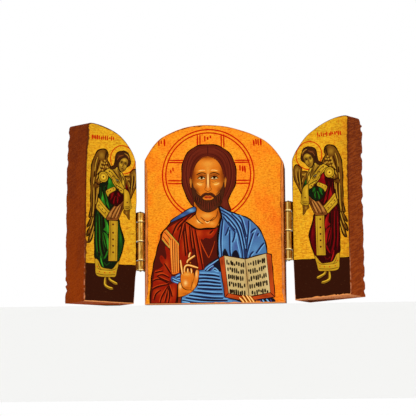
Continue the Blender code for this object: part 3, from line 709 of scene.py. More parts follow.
first_row, row_pitch, outer_margin, inner_margin = 0.09, 0.195, 0.09, 0.94
for seed, page in ((0, left_page), (10, right_page)):
    outer_top, inner_top, inner_foot, _, outer_foot = np.array(page)
    outer, inner = (outer_top + outer_foot) / 2, (inner_top + inner_foot) / 2
    centre.area("page", page, [(outer, 1.4, 9.7, "page_light", 0.6), (inner, 1.0, 9.7, "page_shade", 0.8)],
                edge=("umber", 0.27), straight=True)
    for row in range(5):
        down = first_row + row_pitch * row
        start = outer_top + down * (outer_foot - outer_top)
        end = inner_top + down * (inner_foot - inner_top)
        written = (start + outer_margin * (end - start), start + inner_margin * (end - start))
        centre.rows("ink", [written], 2.8, seed + row, 0.8, 1.16)


def finger(width, points):
    """A finger as a painter lays it: dark outline, flesh, then a light along one side."""
    centre.line("umber", width + 0.55, points)
    centre.line("skin", width, points)
    centre.line("skin_pale", 0.42 * width, [(x - 0.1, y + 0.1) for x, y in points])


# Fingers of the hand under the book, and the cloth beside them.
centre.area("navy", [(22.1, 1.8), (30.9, 2.7), (31.6, -0.2), (19.9, -0.3)])
centre.line("blue_light", 0.65, [(25.6, 1.8), (26.7, 0)], [(27.7, 2.1), (29.3, 0.2)])
centre.line("blue_violet", 0.49, [(24.3, 1.6), (25.3, -0.1)], [(29.9, 2), (30.6, 0.2)])
for across, height in ((13.3, 3.0), (15.0, 4.1), (17.0, 4.2), (18.7, 3.8)):
    finger(1.08, [(across, height), (across + 1.4, height / 2 + 0.05), (across + 2.6, 0.1)])
centre.line("skin", 0.87, [(21.9, 1), (23.2, 0.7), (24.5, 0.8)])

# The raised hand: wrist, palm, six joints of fingers, and the thumb side over them.
centre.area("skin", [(-19.6, 10.7), (-17.9, 11.4), (-16.1, 9.7), (-12.9, 8), (-11.3, 8.2), (-12.7, 6.4),
    (-16.1, 4.7), (-19.7, 3.8), (-19.7, 3.8)],
    [((-18.7, 9.5), 0.8, 1.6, "skin_pale", 0.8), ((-15.6, 5.4), 2.7, 0.87, "skin_dark", 0.6)],
    edge=("umber", 0.43))
centre.area("skin", [(-18.1, 16.2), (-16.8, 17.7), (-11.9, 17), (-11.2, 14.7), (-9.4, 11.2), (-10.4, 9.1),
    (-12.6, 7.8), (-15.4, 7.9), (-17.3, 9.3), (-18.3, 12.4)],
    [((-15.8, 11.3), 1, 1.4, "skin_pale", 0.9), ((-15, 16), 2, 0.97, "skin_light", 0.9),
     ((-12.3, 10.7), 0.5, 2.7, "skin_dark", 0.7), ((-10.7, 11.2), 0.5, 1.1, "skin_light", 0.8),
     ((-15, 8.6), 2.7, 0.65, "skin_dark", 0.6)], edge=("umber", 0.43))
for width, joints in ((0.97, [(-18.4, 23.7), (-18.1, 21.1), (-17.4, 16)]),
                      (1.03, [(-16.4, 17), (-16.3, 19.2), (-15.7, 20.5), (-13.9, 20.9), (-8.9, 19.4)]),
                      (0.97, [(-14.4, 16.7), (-14.5, 18.1), (-14.5, 19.1)]),
                      (0.97, [(-12.5, 16.4), (-12.5, 18), (-12.8, 19.1)]),
                      (0.97, [(-13.9, 25.1), (-13.5, 26.7), (-13, 27.8)]),
                      (1.03, [(-14.8, 22.1), (-14.4, 23.5), (-10.6, 26.1)])):
    finger(width, joints)
centre.line("skin", 0.76, [(-13.3, 22.1), (-12.9, 22.4)])
centre.area("skin", [(-10.1, 18), (-8.6, 17.6), (-8.8, 14.6), (-9.5, 11.2), (-10.8, 8.5), (-12.6, 7.1),
    (-12.5, 9.4), (-11.4, 12.6)],
    [((-9.8, 16), 0.5, 2.2, "skin_pale", 0.8), ((-11.3, 9.8), 0.5, 1.5, "skin_light", 0.7)],
    edge=("umber", 0.3))

# The head, on the plain canon: three equal parts from hairline to brow, to the foot of the
# nose, to the chin; an eye's width between the eyes; both sides alike. Its places are given
# outwards from the middle line and down from the hairline, in hundredths of the face.
face_middle, hairline, face_part = -3.2, 80.2, 0.286


def on_face(points, side=1):
    return [(face_middle + side * face_part * out, hairline - face_part * down) for out, down in points]


def face_area(pigment, half, glows=(), edge=None):
    """A shape alike on both sides: half runs from the middle line round and back to it."""
    other = [point for point in reversed(half) if point[0] > 0]
    soft = []
    for (out, down), wide, high, tint, strength in glows:
        for side in ((1, -1) if out else (1,)):
            middle = on_face([(out, down)], side)[0]
            soft.append((middle, wide * face_part, high * face_part, tint, strength))
    centre.area(pigment, on_face(half) + on_face(other, -1), soft, edge)


def face_lines(pigment, width, *strokes):
    for side in (1, -1):
        centre.line(pigment, width, *[on_face(stroke, side) for stroke in strokes])


# Ears, and the flesh of the face with its shadows and lights.
for side in (1, -1):
    ear = on_face([(29.5, 40.5), (33, 39.5), (35, 44), (34.5, 53), (32, 60.5), (28.5, 63), (27, 53)], side)
    hollow = (on_face([(32.5, 49)], side)[0], 0.5, 1.6, "skin_light", 0.6)
    centre.area("skin", ear, [hollow], edge=("umber", 0.38))
face_area("skin", [(0, 0), (13.5, 4), (23, 13.5), (28.5, 27), (30.5, 41.5), (30, 58.5), (25, 76), (14.5, 92),
                   (0, 100)],
          [((0, 14.5), 14, 7, "skin_light", 0.6), ((0, 26), 6, 8, "skin_light", 0.5),
           ((0, 3), 21, 4, "skin_dark", 0.8), ((27, 35), 7, 25, "skin_dark", 0.95),
           ((30, 46), 4, 27, "umber", 0.6), ((24, 68), 7, 12, "umber", 0.7),
           ((13, 37.5), 9.6, 5, "skin_dark", 0.95), ((5.5, 37), 2.6, 4.5, "umber", 0.5),
           ((18.5, 48.5), 5, 3.8, "skin_dark", 0.6), ((15, 53), 6.9, 4.2, "skin_light", 0.9),
           ((13.5, 28), 7.7, 2.3, "skin_light", 0.5), ((3.6, 49), 1.7, 11.5, "skin_dark", 0.8),
           ((0, 47), 1.9, 13.4, "skin_pale", 0.9), ((20.5, 64.5), 4.6, 4.6, "skin_dark", 0.6)],
          edge=("umber", 0.43))

# Beard, lips and moustache.
face_area("beard", [(0, 84.5), (6, 84), (10.5, 81), (14, 76.5), (19, 73), (24.5, 67), (27.5, 59), (30.5, 50),
                    (31, 63), (28.5, 78), (22.5, 92), (14.5, 101.5), (6, 106), (0, 107)],
          [((8, 98), 6, 5.5, "hair_warm", 0.5), ((22, 84), 4, 9, "soot", 0.45)], edge=("soot", 0.19))
for out in (0.5, 4, 7.5, 11, 14.5, 18, 21.5):
    face_lines("hair_warm", 0.2,
               [(out, 88.5 - 0.55 * out), (1.02 * out, 95 - 0.6 * out), (0.9 * out, 103 - 0.65 * out)])
    face_lines("soot", 0.24,
               [(out + 1.8, 87.5 - 0.55 * out), (1.02 * out + 1.8, 95 - 0.6 * out),
                (0.9 * out + 1.5, 104 - 0.7 * out)])
face_lines("beard", 0.3, [(28.5, 56.5), (26, 62.5), (22.5, 68)], [(26, 60), (22.5, 66), (18, 70.5)],
           [(22.5, 66), (18.5, 70.5), (14.5, 73.5)])
face_area("lip", [(0, 77), (3, 76), (7.5, 78), (4, 81.5), (0, 82.5)], [((0, 81), 3.8, 1, "skin_light", 0.5)])
face_lines("soot_red", 0.27, [(8.5, 78), (4, 78.5), (0, 78.5)])
face_area("beard", [(0, 70.5), (4, 69.5), (9, 71.5), (13.5, 75.5), (16, 81.5), (15.5, 87), (12.5, 84),
                    (10.5, 79.5), (6.5, 76), (2.5, 74.8), (0, 75.5)], edge=("soot", 0.1))
face_lines("soot", 0.2, [(1.5, 72), (7, 73.2), (12, 77.5), (14, 83.5)])
face_lines("hair_warm", 0.18, [(3, 71), (8.5, 73), (13, 77)])
face_area("beard", [(0, 84), (2, 84.5), (3, 87.5), (0, 89)])

# Eyes, then lids, brows and the lines and lights of the nose and forehead.
for side in (1, -1):
    white = [(18.5, 42), (15.5, 39.5), (11.5, 39), (7.5, 40), (5.5, 42), (9, 43.5), (14, 44)]
    gleam = (on_face([(8, 42)], side)[0], 0.6, 0.5, "page_light", 0.7)
    centre.area("page", on_face(white, side), [gleam])
    for pigment, radius in (("umber", 0.73), ("soot", 0.41)):
        centre.dots(pigment, radius, *on_face([(12, 41.2)], side))
face_lines("soot", 0.51, [(20, 42.5), (16, 39.5), (11, 38.5), (5, 42)])
face_lines("skin_deep", 0.24, [(19, 37.5), (13.5, 35), (6.5, 37)], [(17.5, 44), (12, 45.5), (6, 43.5)],
           [(15.5, 49), (10.5, 50), (7, 48.5)], [(3.5, 33.5), (3, 43.5), (3.5, 55), (5, 60.5)],
           [(5, 60), (6.5, 63), (5, 65.5)])
face_lines("umber", 0.62, [(22, 35.5), (16.5, 32.5), (10.5, 31.5), (4, 33)])
face_lines("umber", 0.3, [(4.5, 65.5), (2.5, 66.5)], [(2.5, 66.8), (0, 67.6)])
centre.line("skin_pale", 0.38, on_face([(0, 33.5), (0, 47), (0, 60)]))
face_lines("skin_pale", 0.27, [(21, 51.5), (16, 54.5), (11.5, 54.5)], [(18, 28), (11.5, 26.5), (5.5, 27)])

# Hair drawn back from the middle parting.
face_lines("hair", 1.08, [(0, -1), (11.5, 1), (21.5, 9), (28, 20.5), (31, 32), (31.5, 43)])
face_lines("hair_deep", 0.27, [(0, 1.5), (10.5, 3.5), (20, 11), (26, 22), (29, 35.5)],
           [(1, -5), (13, -2), (24, 7), (30.5, 20.5), (33.5, 37.5), (34, 60.5)])
face_lines("hair_warm", 0.27, [(2, -9.5), (15.5, -5.5), (27, 4), (33.5, 18.5), (36.5, 37.5), (35.5, 55)],
           [(1, -15), (16, -11.5), (29.5, -1), (37, 14.5)])
centre.line("hair_deep", 0.38, on_face([(0, -20), (0, -2)]))

# The rubbed edge and bare wood at the foot, then the sheet that carries it all, which lies
# a hair in front of the board.
centre.worn_rim("rim_brown", 0.2, lambda across, height: 1.0 * (height > 3))
centre.worn_rim("raw_wood", 0.16, lambda across, height: 1.0 * (height < 2))
sheet_gap = 0.05


def to_centre(across, height):
    return 0.001 * across, 0.001 * (centre_front - sheet_gap), 0.001 * height


centre_skin = placed("centre_painting", centre.mesh("centre_painting", to_centre),
                     varnished("centre_paint", 0.0, (0.0, 0.0, 0.0), patches=0.7, dashes=0.62))
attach(centre_skin, "centre_board")

# ======================================================================================
# The wings' paintings: one angel bowing inwards with covered hands, drawn once and painted
# twice on gold, in green with a crimson bundle on the left and in crimson with a green one
# on the right. A dark floor runs under both.
# ======================================================================================

wing_pigments = {
    "wing_gold": (229, 171, 28), "gold_brown": (184, 108, 16), "floor": (48, 16, 4),
    "feather": (108, 64, 10), "feather_light": (182, 136, 36), "feather_dark": (46, 18, 0),
    "band": (186, 142, 26), "band_light": (222, 178, 42), "band_shade": (134, 96, 18),
    "olive_skin": (150, 108, 26), "olive_deep": (86, 52, 6), "dull_blue": (82, 92, 84),
    "sleeve": (130, 70, 24), "sleeve_light": (184, 124, 54), "hair_wing": (58, 28, 8),
}
# A wing's picture is measured from beside the hinge's barrel, this far out from the pin.
barrel_reach = 2.15
greens = {"_dark": (14, 24, 8), "": (22, 58, 12), "_light": (36, 104, 20), "_bright": (64, 160, 40)}
crimsons = {"_dark": (46, 2, 2), "": (86, 2, 6), "_light": (126, 6, 10), "_bright": (170, 24, 18)}


def bowed_face(picture):
    """A plain small face on the same thirds, leaning 13.5 degrees, in hundredths of its 8.1 mm height."""
    top, part, lean = np.array((7.4, 79.5)), 0.081, radians(13.5)
    inward, downward = np.array((-cos(lean), -sin(lean))), np.array((sin(lean), -cos(lean)))

    def at(points):
        return [top + part * (aside * inward + down * downward) for aside, down in points]

    def soft(aside, down, wide, high, pigment, strength):
        return (at([(aside, down)])[0], wide * part, high * part, pigment, strength)

    picture.area("olive_skin",
                 at([(0, 0), (21, 4), (33, 19), (34, 42), (27, 67), (15, 90), (0, 100), (-15, 92), (-27, 72),
                     (-32, 45), (-29, 20), (-17, 5)]),
                 [soft(2, 17, 17, 8, "band_light", 0.75), soft(-14, 56, 9, 10, "band_light", 0.8),
                  soft(20, 55, 8, 9, "band_light", 0.5), soft(31, 45, 9, 22, "olive_deep", 0.9),
                  soft(14, 88, 18, 9, "olive_deep", 0.9), soft(-13, 39, 11, 7, "olive_deep", 0.7),
                  soft(16, 39, 11, 7, "olive_deep", 0.7)], edge=("soot", 0.3))
    picture.line("hair_wing", 0.76, at([(-31, 44), (-24, 17), (0, -3), (25, 0), (37, 20)]))
    picture.line("sleeve", 0.32, at([(-50, 33), (-38, 4), (-10, -15)]), at([(3, -24), (25, -15), (39, 5)]))
    picture.line("feather_light", 0.27, at([(-6, -27), (17, -24), (35, -9)]))
    for aside in (-13, 16):
        picture.line("soot", 0.4, at([(aside - 9, 34), (aside, 30), (aside + 9, 33)]),
                     at([(aside - 8, 42), (aside, 38), (aside + 8, 42)]))
        picture.dots("soot", 0.3, at([(aside, 41)])[0])
    picture.line("umber", 0.32, at([(3, 34), (4, 52), (-1, 65), (6, 67)]), at([(-19, 50), (-6, 50)]))
    picture.line("soot_red", 0.42, at([(-8, 79), (2, 77), (12, 79)]))
    picture.line("umber", 0.19, at([(-2, 88), (7, 88)]))


def angel(picture):
    """The angel as first drawn, in millimetres outwards from the hinge and up from the foot."""
    # The dark floor, and the ring of the halo.
    picture.area("floor", [(35.9, 20.9), (-3.4, 20.9), (-3.3, -4), (35.9, -5.1)], edge=("soot", 0.38),
        straight=True)
    picture.ring("line_red", 0.51, (8.4, 78.2), 7.7)

    # The two wings behind the figure.
    picture.area("feather", [(20.8, 82.9), (23.2, 82), (24.8, 80.3), (27, 75.6), (28, 68.5), (28.1, 52.3),
        (29.2, 45.6), (29.2, 45.6), (28.1, 46.4), (28.5, 44.4), (30.5, 40.4), (30.5, 40.4), (28.7, 41.7),
        (28.6, 40.4), (30, 38), (30.6, 35.5), (30.6, 35.5), (29.1, 36.9), (28.1, 38.5), (30, 32.1),
        (30, 32.1), (28.3, 33.5), (26.4, 40), (26, 44.3), (24.8, 50.9), (23.1, 57.4), (22.6, 66.1),
        (22.2, 69.1), (20.7, 71.1), (18.3, 72.8), (16.4, 73.7), (18.3, 77.5), (17.8, 79.5), (18.1, 81.3),
        (19.1, 82.5)],
        [((21.6, 79.6), 1.9, 1.9, "feather_light", 0.5), ((18.6, 80.9), 1, 2.4, "feather_dark", 0.9),
         ((23.8, 78), 0.7, 2.2, "feather_dark", 0.5), ((25, 74.1), 0.9, 3.2, "feather_dark", 0.5),
         ((22, 74.9), 2.5, 2.7, "feather_dark", 0.3), ((24.7, 61.5), 1.9, 1.6, "feather_dark", 0.9),
         ((24.5, 68), 1.5, 1.4, "feather_dark", 0.9), ((25.9, 64.8), 1.5, 1.1, "feather_dark", 0.6),
         ((26.2, 71.3), 1, 2.7, "feather_light", 0.3), ((26.6, 57.2), 0.7, 5.4, "feather_light", 0.2),
         ((24.8, 55.7), 0.9, 4.3, "feather_dark", 0.5), ((27.1, 46.4), 0.9, 4.3, "feather_light", 0.5),
         ((29.3, 40.9), 1.5, 2.2, "feather_dark", 0.6), ((29.9, 36.1), 1, 1.6, "feather_dark", 0.7),
         ((29.3, 32.9), 0.9, 1.3, "feather_dark", 0.7)], edge=("soot", 0.7))
    picture.line("feather_dark", 0.68, [(18.5, 81.7), (19.2, 79.1), (19.6, 76.9)],
        [(24.8, 77.9), (25.6, 73.5), (26.3, 62.6)], [(22.8, 77), (24.2, 72.5), (25, 68.1)],
        [(21.6, 74.6), (23.4, 70.1), (24.3, 66)], [(25.3, 61.6), (25.6, 50.8), (26.3, 45.9)],
        [(23.6, 60.7), (24.1, 55.2), (25, 50.8)], [(26.9, 60.4), (27, 55), (27, 48.6)],
        [(27.1, 46.4), (27.7, 43.2), (29.1, 40.1)], [(26.3, 45.4), (27.1, 41), (28.5, 37.2)],
        [(28.1, 51.7), (27.7, 48.5), (27.7, 45.8)], [(25.8, 50.8), (26.3, 46.5), (26.6, 43.2)],
        [(19.7, 77.1), (18.6, 75.8), (17.5, 73.9)], [(22, 62.9), (22.9, 63.7), (24.7, 63.5)],
        [(27.2, 63.7), (25.6, 64.5), (23.4, 63.9)])
    picture.line("feather_light", 0.49, [(24, 78.5), (25.1, 75.2), (25.8, 70.8)],
        [(21.7, 76.7), (22.7, 73), (24.4, 69.5)], [(23.9, 68.9), (24.7, 66.5)],
        [(26.4, 61.8), (26.5, 51.8), (27, 47.5)], [(24.3, 61.7), (24.5, 57.4), (25.2, 53)],
        [(26.1, 67.6), (26.6, 63.7)], [(23.2, 68.4), (23.3, 65)], [(23.4, 62.3), (23.7, 58.5)],
        [(26.7, 45.6), (27.6, 42.1), (28.7, 39.3)], [(26.4, 41.1), (27.4, 37.3), (28.7, 34)],
        [(22.2, 72.4), (23.7, 70.2)])
    small_feathers = ((21.3, 75.7), (20, 75.4), (18.6, 75.6), (19.6, 76.8), (21.7, 73.6), (20.5, 73.4),
        (19.1, 73.7), (18, 73.2), (21.1, 71.8), (22.5, 71.9))
    for across, height in small_feathers:
        picture.line("feather_light", 0.81,
            [(across + 0.2, height + 0.5), (across, height), (across - 0.2, height - 0.5)])
    picture.line("feather_dark", 0.49, [(21.7, 74.6), (19.9, 74.3), (18, 75.1)],
        [(22.4, 72.4), (20.5, 72.4)], [(20.7, 76.1), (18.9, 76)])
    picture.area("feather", [(7.5, 68.6), (4.1, 69.6), (3.8, 71.3), (0.8, 73.3), (-0.8, 70.4), (0.2, 64.4),
        (4, 57.1), (4, 57.1), (4.2, 59.8), (6.2, 65.1)],
        [((1.2, 70.9), 0.9, 1.6, "feather_light", 0.5), ((3.3, 65.3), 1.2, 3.2, "feather_dark", 0.6),
         ((5.5, 67.7), 1, 0.87, "feather_light", 0.6)], edge=("soot", 0.6))
    picture.line("feather_dark", 0.6, [(3.7, 69.7), (3.3, 67), (3.7, 59.8)],
        [(1.8, 69.8), (1.8, 66), (2.7, 62.1)], [(5.6, 68.1), (4.3, 65.8), (4, 62.5)])
    picture.line("feather_light", 0.41, [(2.6, 70.8), (2.6, 67), (3.5, 59.8)],
        [(0.4, 71), (0.7, 67.1), (1.7, 63.2)], [(6.5, 68.4), (5, 67.5), (4.2, 68.3)],
        [(4.8, 66.3), (4.2, 63.6)])

    # The robe under the belt, then its gold strip and hem.
    picture.area("cloth_dark", [(25, 50.1), (22.6, 48.9), (18.7, 45.5), (17.1, 45.1), (11.5, 45.4),
        (10.4, 42.5), (8.1, 35.3), (7.9, 32.9), (10.8, 23.6), (13.4, 20.2), (14.7, 18.4), (20.8, 18.3),
        (23, 21.1), (25.7, 24.5), (25.9, 30.9), (25.8, 45.4)], edge=("soot", 0.49))
    picture.area("cloth", [(24.4, 48.9), (23.4, 48.5), (23.5, 42.3), (23.1, 34.8), (21.8, 28.4),
        (20.4, 23.9), (21.5, 23.6), (23.5, 29.4), (24.7, 43.3)],
        [((23.2, 31.6), 0.9, 4.3, "cloth_light", 0.3)])
    picture.area("cloth_light", [(19.9, 45.5), (18.4, 44), (17.3, 41), (17.2, 38), (18.1, 37.2),
        (19.2, 38.7), (20.6, 39.5), (19.3, 41.2)], [((17.9, 41), 0.7, 2.2, "cloth_bright", 0.8)])
    picture.area("cloth_light", [(21, 37.6), (19.2, 37.5), (17.6, 35.6), (17.3, 28.3), (19.8, 31.4)],
        [((18, 32.4), 0.6, 2.7, "cloth_bright", 0.8), ((20.2, 35.5), 0.6, 1.6, "cloth", 0.6)])
    picture.line("cloth_light", 0.81, [(17.7, 28.6), (18.7, 26.1), (20, 23.9)],
        [(22.4, 25.7), (21.9, 22.5), (20.5, 19.2)])
    picture.line("cloth_bright", 0.43, [(22, 24.1), (21.5, 21.7), (20.8, 19.9)],
        [(18.4, 43.5), (17.8, 40.7), (17.8, 38.3)], [(17.8, 35.1), (17.5, 31.3), (17.8, 29.2)])
    picture.line("cloth", 0.6, [(25, 46.5), (25, 31.5), (24.2, 25.1)],
        [(21.6, 46.7), (21.7, 41.3), (21.1, 33.8), (19.9, 27.4)], [(20.2, 22.1), (18.7, 20.5), (16.7, 21.9)],
        [(22.8, 47.7), (22.8, 41.3), (22.4, 34.8)])
    picture.line("soot", 0.65, [(22.2, 47.8), (21.6, 32.7), (19.8, 25.3)],
        [(24.1, 47.7), (23.5, 30.5), (22.4, 25.2)], [(20.8, 38.2), (19.3, 33.4), (18.1, 28.1)],
        [(20.5, 46.3), (20.3, 42.5), (21, 38.7)])
    picture.line("cloth_light", 0.38, [(23.1, 46.7), (22.7, 31.6), (21.4, 25.2)],
        [(24.8, 43.3), (24.8, 34.7), (24.2, 27.2)])
    picture.area("cloth", [(11.6, 44.6), (10.8, 42), (8.7, 32.3), (11.2, 24.1), (11.8, 23.5), (11.5, 34.3)],
        [((9.9, 35.5), 0.6, 3.2, "cloth_light", 0.9), ((11.3, 30.6), 0.5, 5.4, "cloth_dark", 0.9)])
    picture.area("band", [(16.9, 45), (11.9, 45.3), (11.8, 41.9), (12, 34.3), (12.2, 23), (17.4, 22.8),
        (17.1, 34), (16.8, 40.5)],
        [((15.9, 34.1), 0.9, 11.9, "band_shade", 0.6), ((12.8, 38.6), 0.7, 8.7, "band_light", 0.4)],
        edge=("umber", 0.27), straight=True)
    picture.line("umber", 0.24, [(16.1, 44.6), (16.3, 34.1), (16.6, 23.3)],
        [(12.7, 44.8), (12.8, 34.3), (13, 23.5)])
    picture.dots("maroon", 0.54, *((14.6, height) for height in (42.6, 38.1, 34.5, 31, 27.5)))
    picture.area("band", [(25.5, 23.4), (23.8, 22.7), (21.6, 19.2), (17.1, 18.4), (14.7, 18.7), (11.2, 22.7),
        (12.4, 17.6), (13.3, 14.7), (15.9, 14.3), (24.3, 14.7), (25.4, 19.7)],
        [((19, 17.3), 4.9, 0.65, "band_light", 0.7)], edge=("umber", 0.32))
    picture.line("umber", 0.3, [(24.9, 15.9), (20.2, 15.1), (13.3, 15.6)],
        [(24.2, 18.9), (22, 17.9), (15.3, 17.9), (12.6, 19.1)], [(24, 21.7), (23.3, 19.8), (22, 18)])
    picture.dots("line_red", 0.34, (24.3, 19.5), (23, 16.8), (19.7, 16.4), (16.6, 16.5), (14, 17))

    # Feet in soft shoes.
    for pigment, width in (("soot", 2), ("band_shade", 1.46)):
        picture.line(pigment, width, [(19.4, 14.3), (19.5, 10.2), (18.1, 8.8), (16.3, 8), (14.7, 8.1)],
            [(17.1, 14.3), (16.8, 12.9), (13.2, 10.9), (12, 10.8)])
    picture.line("band_light", 0.49, [(19.6, 13.5), (19.7, 10.4), (18.1, 9.1), (15.2, 8.4)],
        [(16.9, 13.6), (16.1, 12.6), (12.3, 11)])
    picture.line("umber", 0.32, [(18.1, 12.7), (17.4, 11.1), (14.4, 9.2)],
        [(18.7, 13.4), (18.5, 11.1), (17, 9.7), (15, 8.9)])

    # The body in dark cloth with lit folds, the bundle in covered hands, and the crossed gold band.
    picture.area("cloth_dark", [(22.6, 64), (20.1, 64.5), (18.3, 65.8), (16.8, 68.1), (15.3, 66.1),
        (12.7, 63), (11.5, 61.5), (14, 58), (12.7, 53.2), (14.6, 51.3), (16.7, 49.4), (21.7, 54.1),
        (23.6, 55.9), (23, 59.6)], edge=("soot", 0.43))
    picture.area("cloth_light", [(16.9, 67.7), (14.6, 64.3), (13.6, 63), (17.3, 61.5), (18.2, 60.5)],
        [((16.8, 66), 0.7, 1.6, "cloth_bright", 0.7), ((15.2, 63.6), 0.9, 1.1, "cloth", 0.6)])
    picture.area("cloth_light", [(21.2, 60), (19.2, 52.3), (22, 55.7), (21.7, 57.5)],
        [((21.1, 56.2), 0.6, 2.2, "cloth_bright", 0.8)])
    picture.area("cloth_light", [(19.5, 59.3), (17.7, 54.6), (16.8, 50.8), (18.8, 54.2)],
        [((18.3, 53.6), 0.5, 1.6, "cloth_bright", 0.6)])
    picture.line("cloth", 0.49, [(20, 63.1), (20, 59.8), (18, 53.4)],
        [(17.2, 57.3), (16.1, 54.7), (15.6, 52.5)], [(22.1, 62.4), (22.1, 59.1), (22.5, 56.4)])
    picture.line("soot", 0.43, [(21.6, 63), (21.6, 58.6), (22.2, 55.9)],
        [(20.4, 60.9), (18.9, 53.7), (17.4, 50.8)], [(18, 58.9), (16.8, 55.7), (15.2, 52.5)],
        [(17.5, 64.9), (18.4, 62.6), (18.6, 60.4)])
    picture.area("band", [(24.8, 51), (23.9, 54.3), (23.4, 56.3), (20.7, 53.4), (18, 50.6), (16.3, 49.1),
        (17.8, 47.6), (19.2, 45.7), (21.6, 47.9)],
        [((20.8, 51.1), 1.9, 1.6, "band_light", 0.6), ((23.6, 53.6), 0.9, 1.3, "band_light", 0.4)],
        edge=("umber", 0.38))
    picture.line("umber", 0.27, [(23.7, 54.9), (20.8, 51.9), (17.2, 48.6)],
        [(24.4, 52.3), (21.5, 49.4), (18.7, 46.9)])
    picture.dots("maroon", 0.41, (23.3, 52.5), (21.2, 50.5), (19.4, 48.6))
    picture.area("bundle_dark", [(7.2, 66.9), (4.7, 61.9), (3.9, 58.4), (4.3, 57), (5.6, 59.1), (7.7, 63.9)],
        [((6.4, 63.6), 0.6, 1.4, "bundle_light", 0.8), ((5.1, 60.3), 0.5, 1.6, "bundle", 0.9)])
    picture.area("sleeve", [(18.7, 45.4), (17.1, 48.4), (13.6, 52.9), (11.7, 52.9), (10, 54.5), (9, 56.3),
        (7.9, 55.8), (7.8, 53), (11.4, 46), (12.6, 44.9), (18.2, 44.9)],
        [((16.2, 47.9), 1, 2.2, "sleeve_light", 0.6), ((12.5, 48.9), 0.7, 2.7, "sleeve_light", 0.4),
         ((15.8, 45.7), 1.9, 0.76, "feather_dark", 0.8), ((9.3, 51.8), 1, 2.7, "feather_dark", 0.7)],
        edge=("soot", 0.43))
    picture.line("sleeve_light", 0.49, [(17.3, 46.5), (15.5, 49.5), (13.5, 52.2)],
        [(15, 46.3), (13.4, 49.4), (10, 54.3)], [(13, 46.2), (11.5, 49.2), (9.9, 52.7)])
    picture.line("feather_dark", 0.38, [(16.2, 45.7), (14.6, 49.1), (12.5, 52.2)],
        [(13.9, 45.7), (12.2, 49.5), (10.4, 52.8)], [(12.1, 45.8), (8.9, 52.6), (8.5, 54.8)])
    picture.area("bundle_dark", [(17.4, 58.4), (14, 60.7), (13, 60.1), (11.8, 60.8), (8.1, 59), (7.8, 56.8),
        (10.9, 53.7), (12.7, 52.7), (16.4, 54.7)],
        [((15.2, 58.7), 0.9, 1.6, "bundle_light", 0.8), ((14, 55.3), 0.7, 1.9, "bundle", 0.9),
         ((11.2, 59), 0.7, 1.4, "bundle_light", 0.7), ((11.9, 56), 0.9, 1.6, "bundle", 0.8)],
        edge=("soot", 0.38))
    picture.line("bundle_light", 0.43, [(14.3, 59.8), (15.4, 57.4), (16.1, 56)],
        [(13.1, 58.2), (14, 55.9), (14.3, 53.9)], [(11.7, 59.8), (10.2, 58.1)],
        [(12.3, 57.9), (11.6, 56.6), (11.9, 54.4)])
    picture.line("soot", 0.38, [(13.1, 60.1), (13.5, 58.4), (15.6, 54.7)],
        [(12.8, 59.8), (12.7, 57), (13, 53.3)], [(9.7, 59.6), (10.2, 57.2), (11.5, 54.4)],
        [(16.6, 58.2), (16.3, 56.3)])
    picture.area("band",
        [(18.9, 59.8), (18.2, 61), (13.8, 62.9), (13.1, 61.3), (15.3, 60.1), (17.1, 58.8), (17.7, 57.6)],
        [((16.4, 61.1), 1.2, 0.54, "band_light", 0.6)], edge=("umber", 0.32))
    picture.dots("maroon", 0.32, (17.9, 60.1), (16.2, 60.9), (14.4, 61.9))
    picture.area("olive_skin", [(14.9, 72.5), (12.9, 74.7), (11.2, 74.6), (10.6, 72.5), (9.1, 71.2),
        (7.1, 67.6), (7.1, 62.5), (8.1, 61.5), (9.2, 64.4), (13.3, 70.6)],
        [((12.4, 73.5), 0.7, 1.4, "band_light", 0.6), ((10.5, 69.2), 1, 2.4, "olive_deep", 0.9),
         ((10.1, 65.9), 0.7, 2.2, "olive_deep", 0.9), ((8.4, 65.3), 0.6, 1.7, "band_light", 0.9)],
        edge=("soot", 0.38))
    picture.line("soot", 0.38, [(11.7, 73.1), (11.1, 71.1), (9.6, 68.7), (9, 66.2), (9.2, 63.6)],
        [(10.6, 71.7), (7.7, 67), (7.2, 63.9)])
    picture.line("band_light", 0.43, [(9.8, 71.2), (8.7, 69.1)], [(8.3, 66.9), (8.4, 63.6)])
    picture.area("band", [(20, 70.8), (16.2, 72.9), (12.7, 69.8), (8.6, 64.2), (7.7, 61.7), (8.4, 60),
        (10.1, 60.5), (14.3, 64.8), (15.4, 67.2), (18.8, 69.8)],
        [((16.8, 71.1), 1.6, 0.97, "band_light", 0.6), ((13.6, 68.6), 1.2, 1.4, "olive_deep", 0.6),
         ((11.8, 66.1), 1.4, 1.3, "olive_deep", 0.9), ((11.8, 63.3), 1.2, 0.76, "band_light", 0.7),
         ((9.4, 61.6), 1, 0.76, "band_light", 0.5)], edge=("soot", 0.43))
    picture.line("umber", 0.32, [(18.9, 71), (16.5, 69.3), (12.2, 63), (10, 60.7)],
        [(17.4, 71.9), (14.8, 70), (10.5, 63.9)], [(15.5, 72.4), (12.9, 69.9), (11, 67)])
    picture.line("soot", 0.43, [(13.2, 64.3), (9.2, 62.5), (8, 61.4)],
        [(12.7, 67.6), (11.2, 66.7), (10.3, 65)])
    picture.dots("maroon", 0.43, (16.8, 71.2), (14.7, 68.7), (11.3, 61.9), (9.6, 61.3))
    picture.dots("dull_blue", 0.32, (12.5, 66.9), (11.5, 66.6))
    shoulder_disc = (("soot", 3.25), ("band", 2.85), ("umber", 2.2), ("band", 2), ("band_light", 1.3),
        ("maroon", 0.5))
    for pigment, radius in shoulder_disc:
        picture.dots(pigment, radius, (20.5, 68))
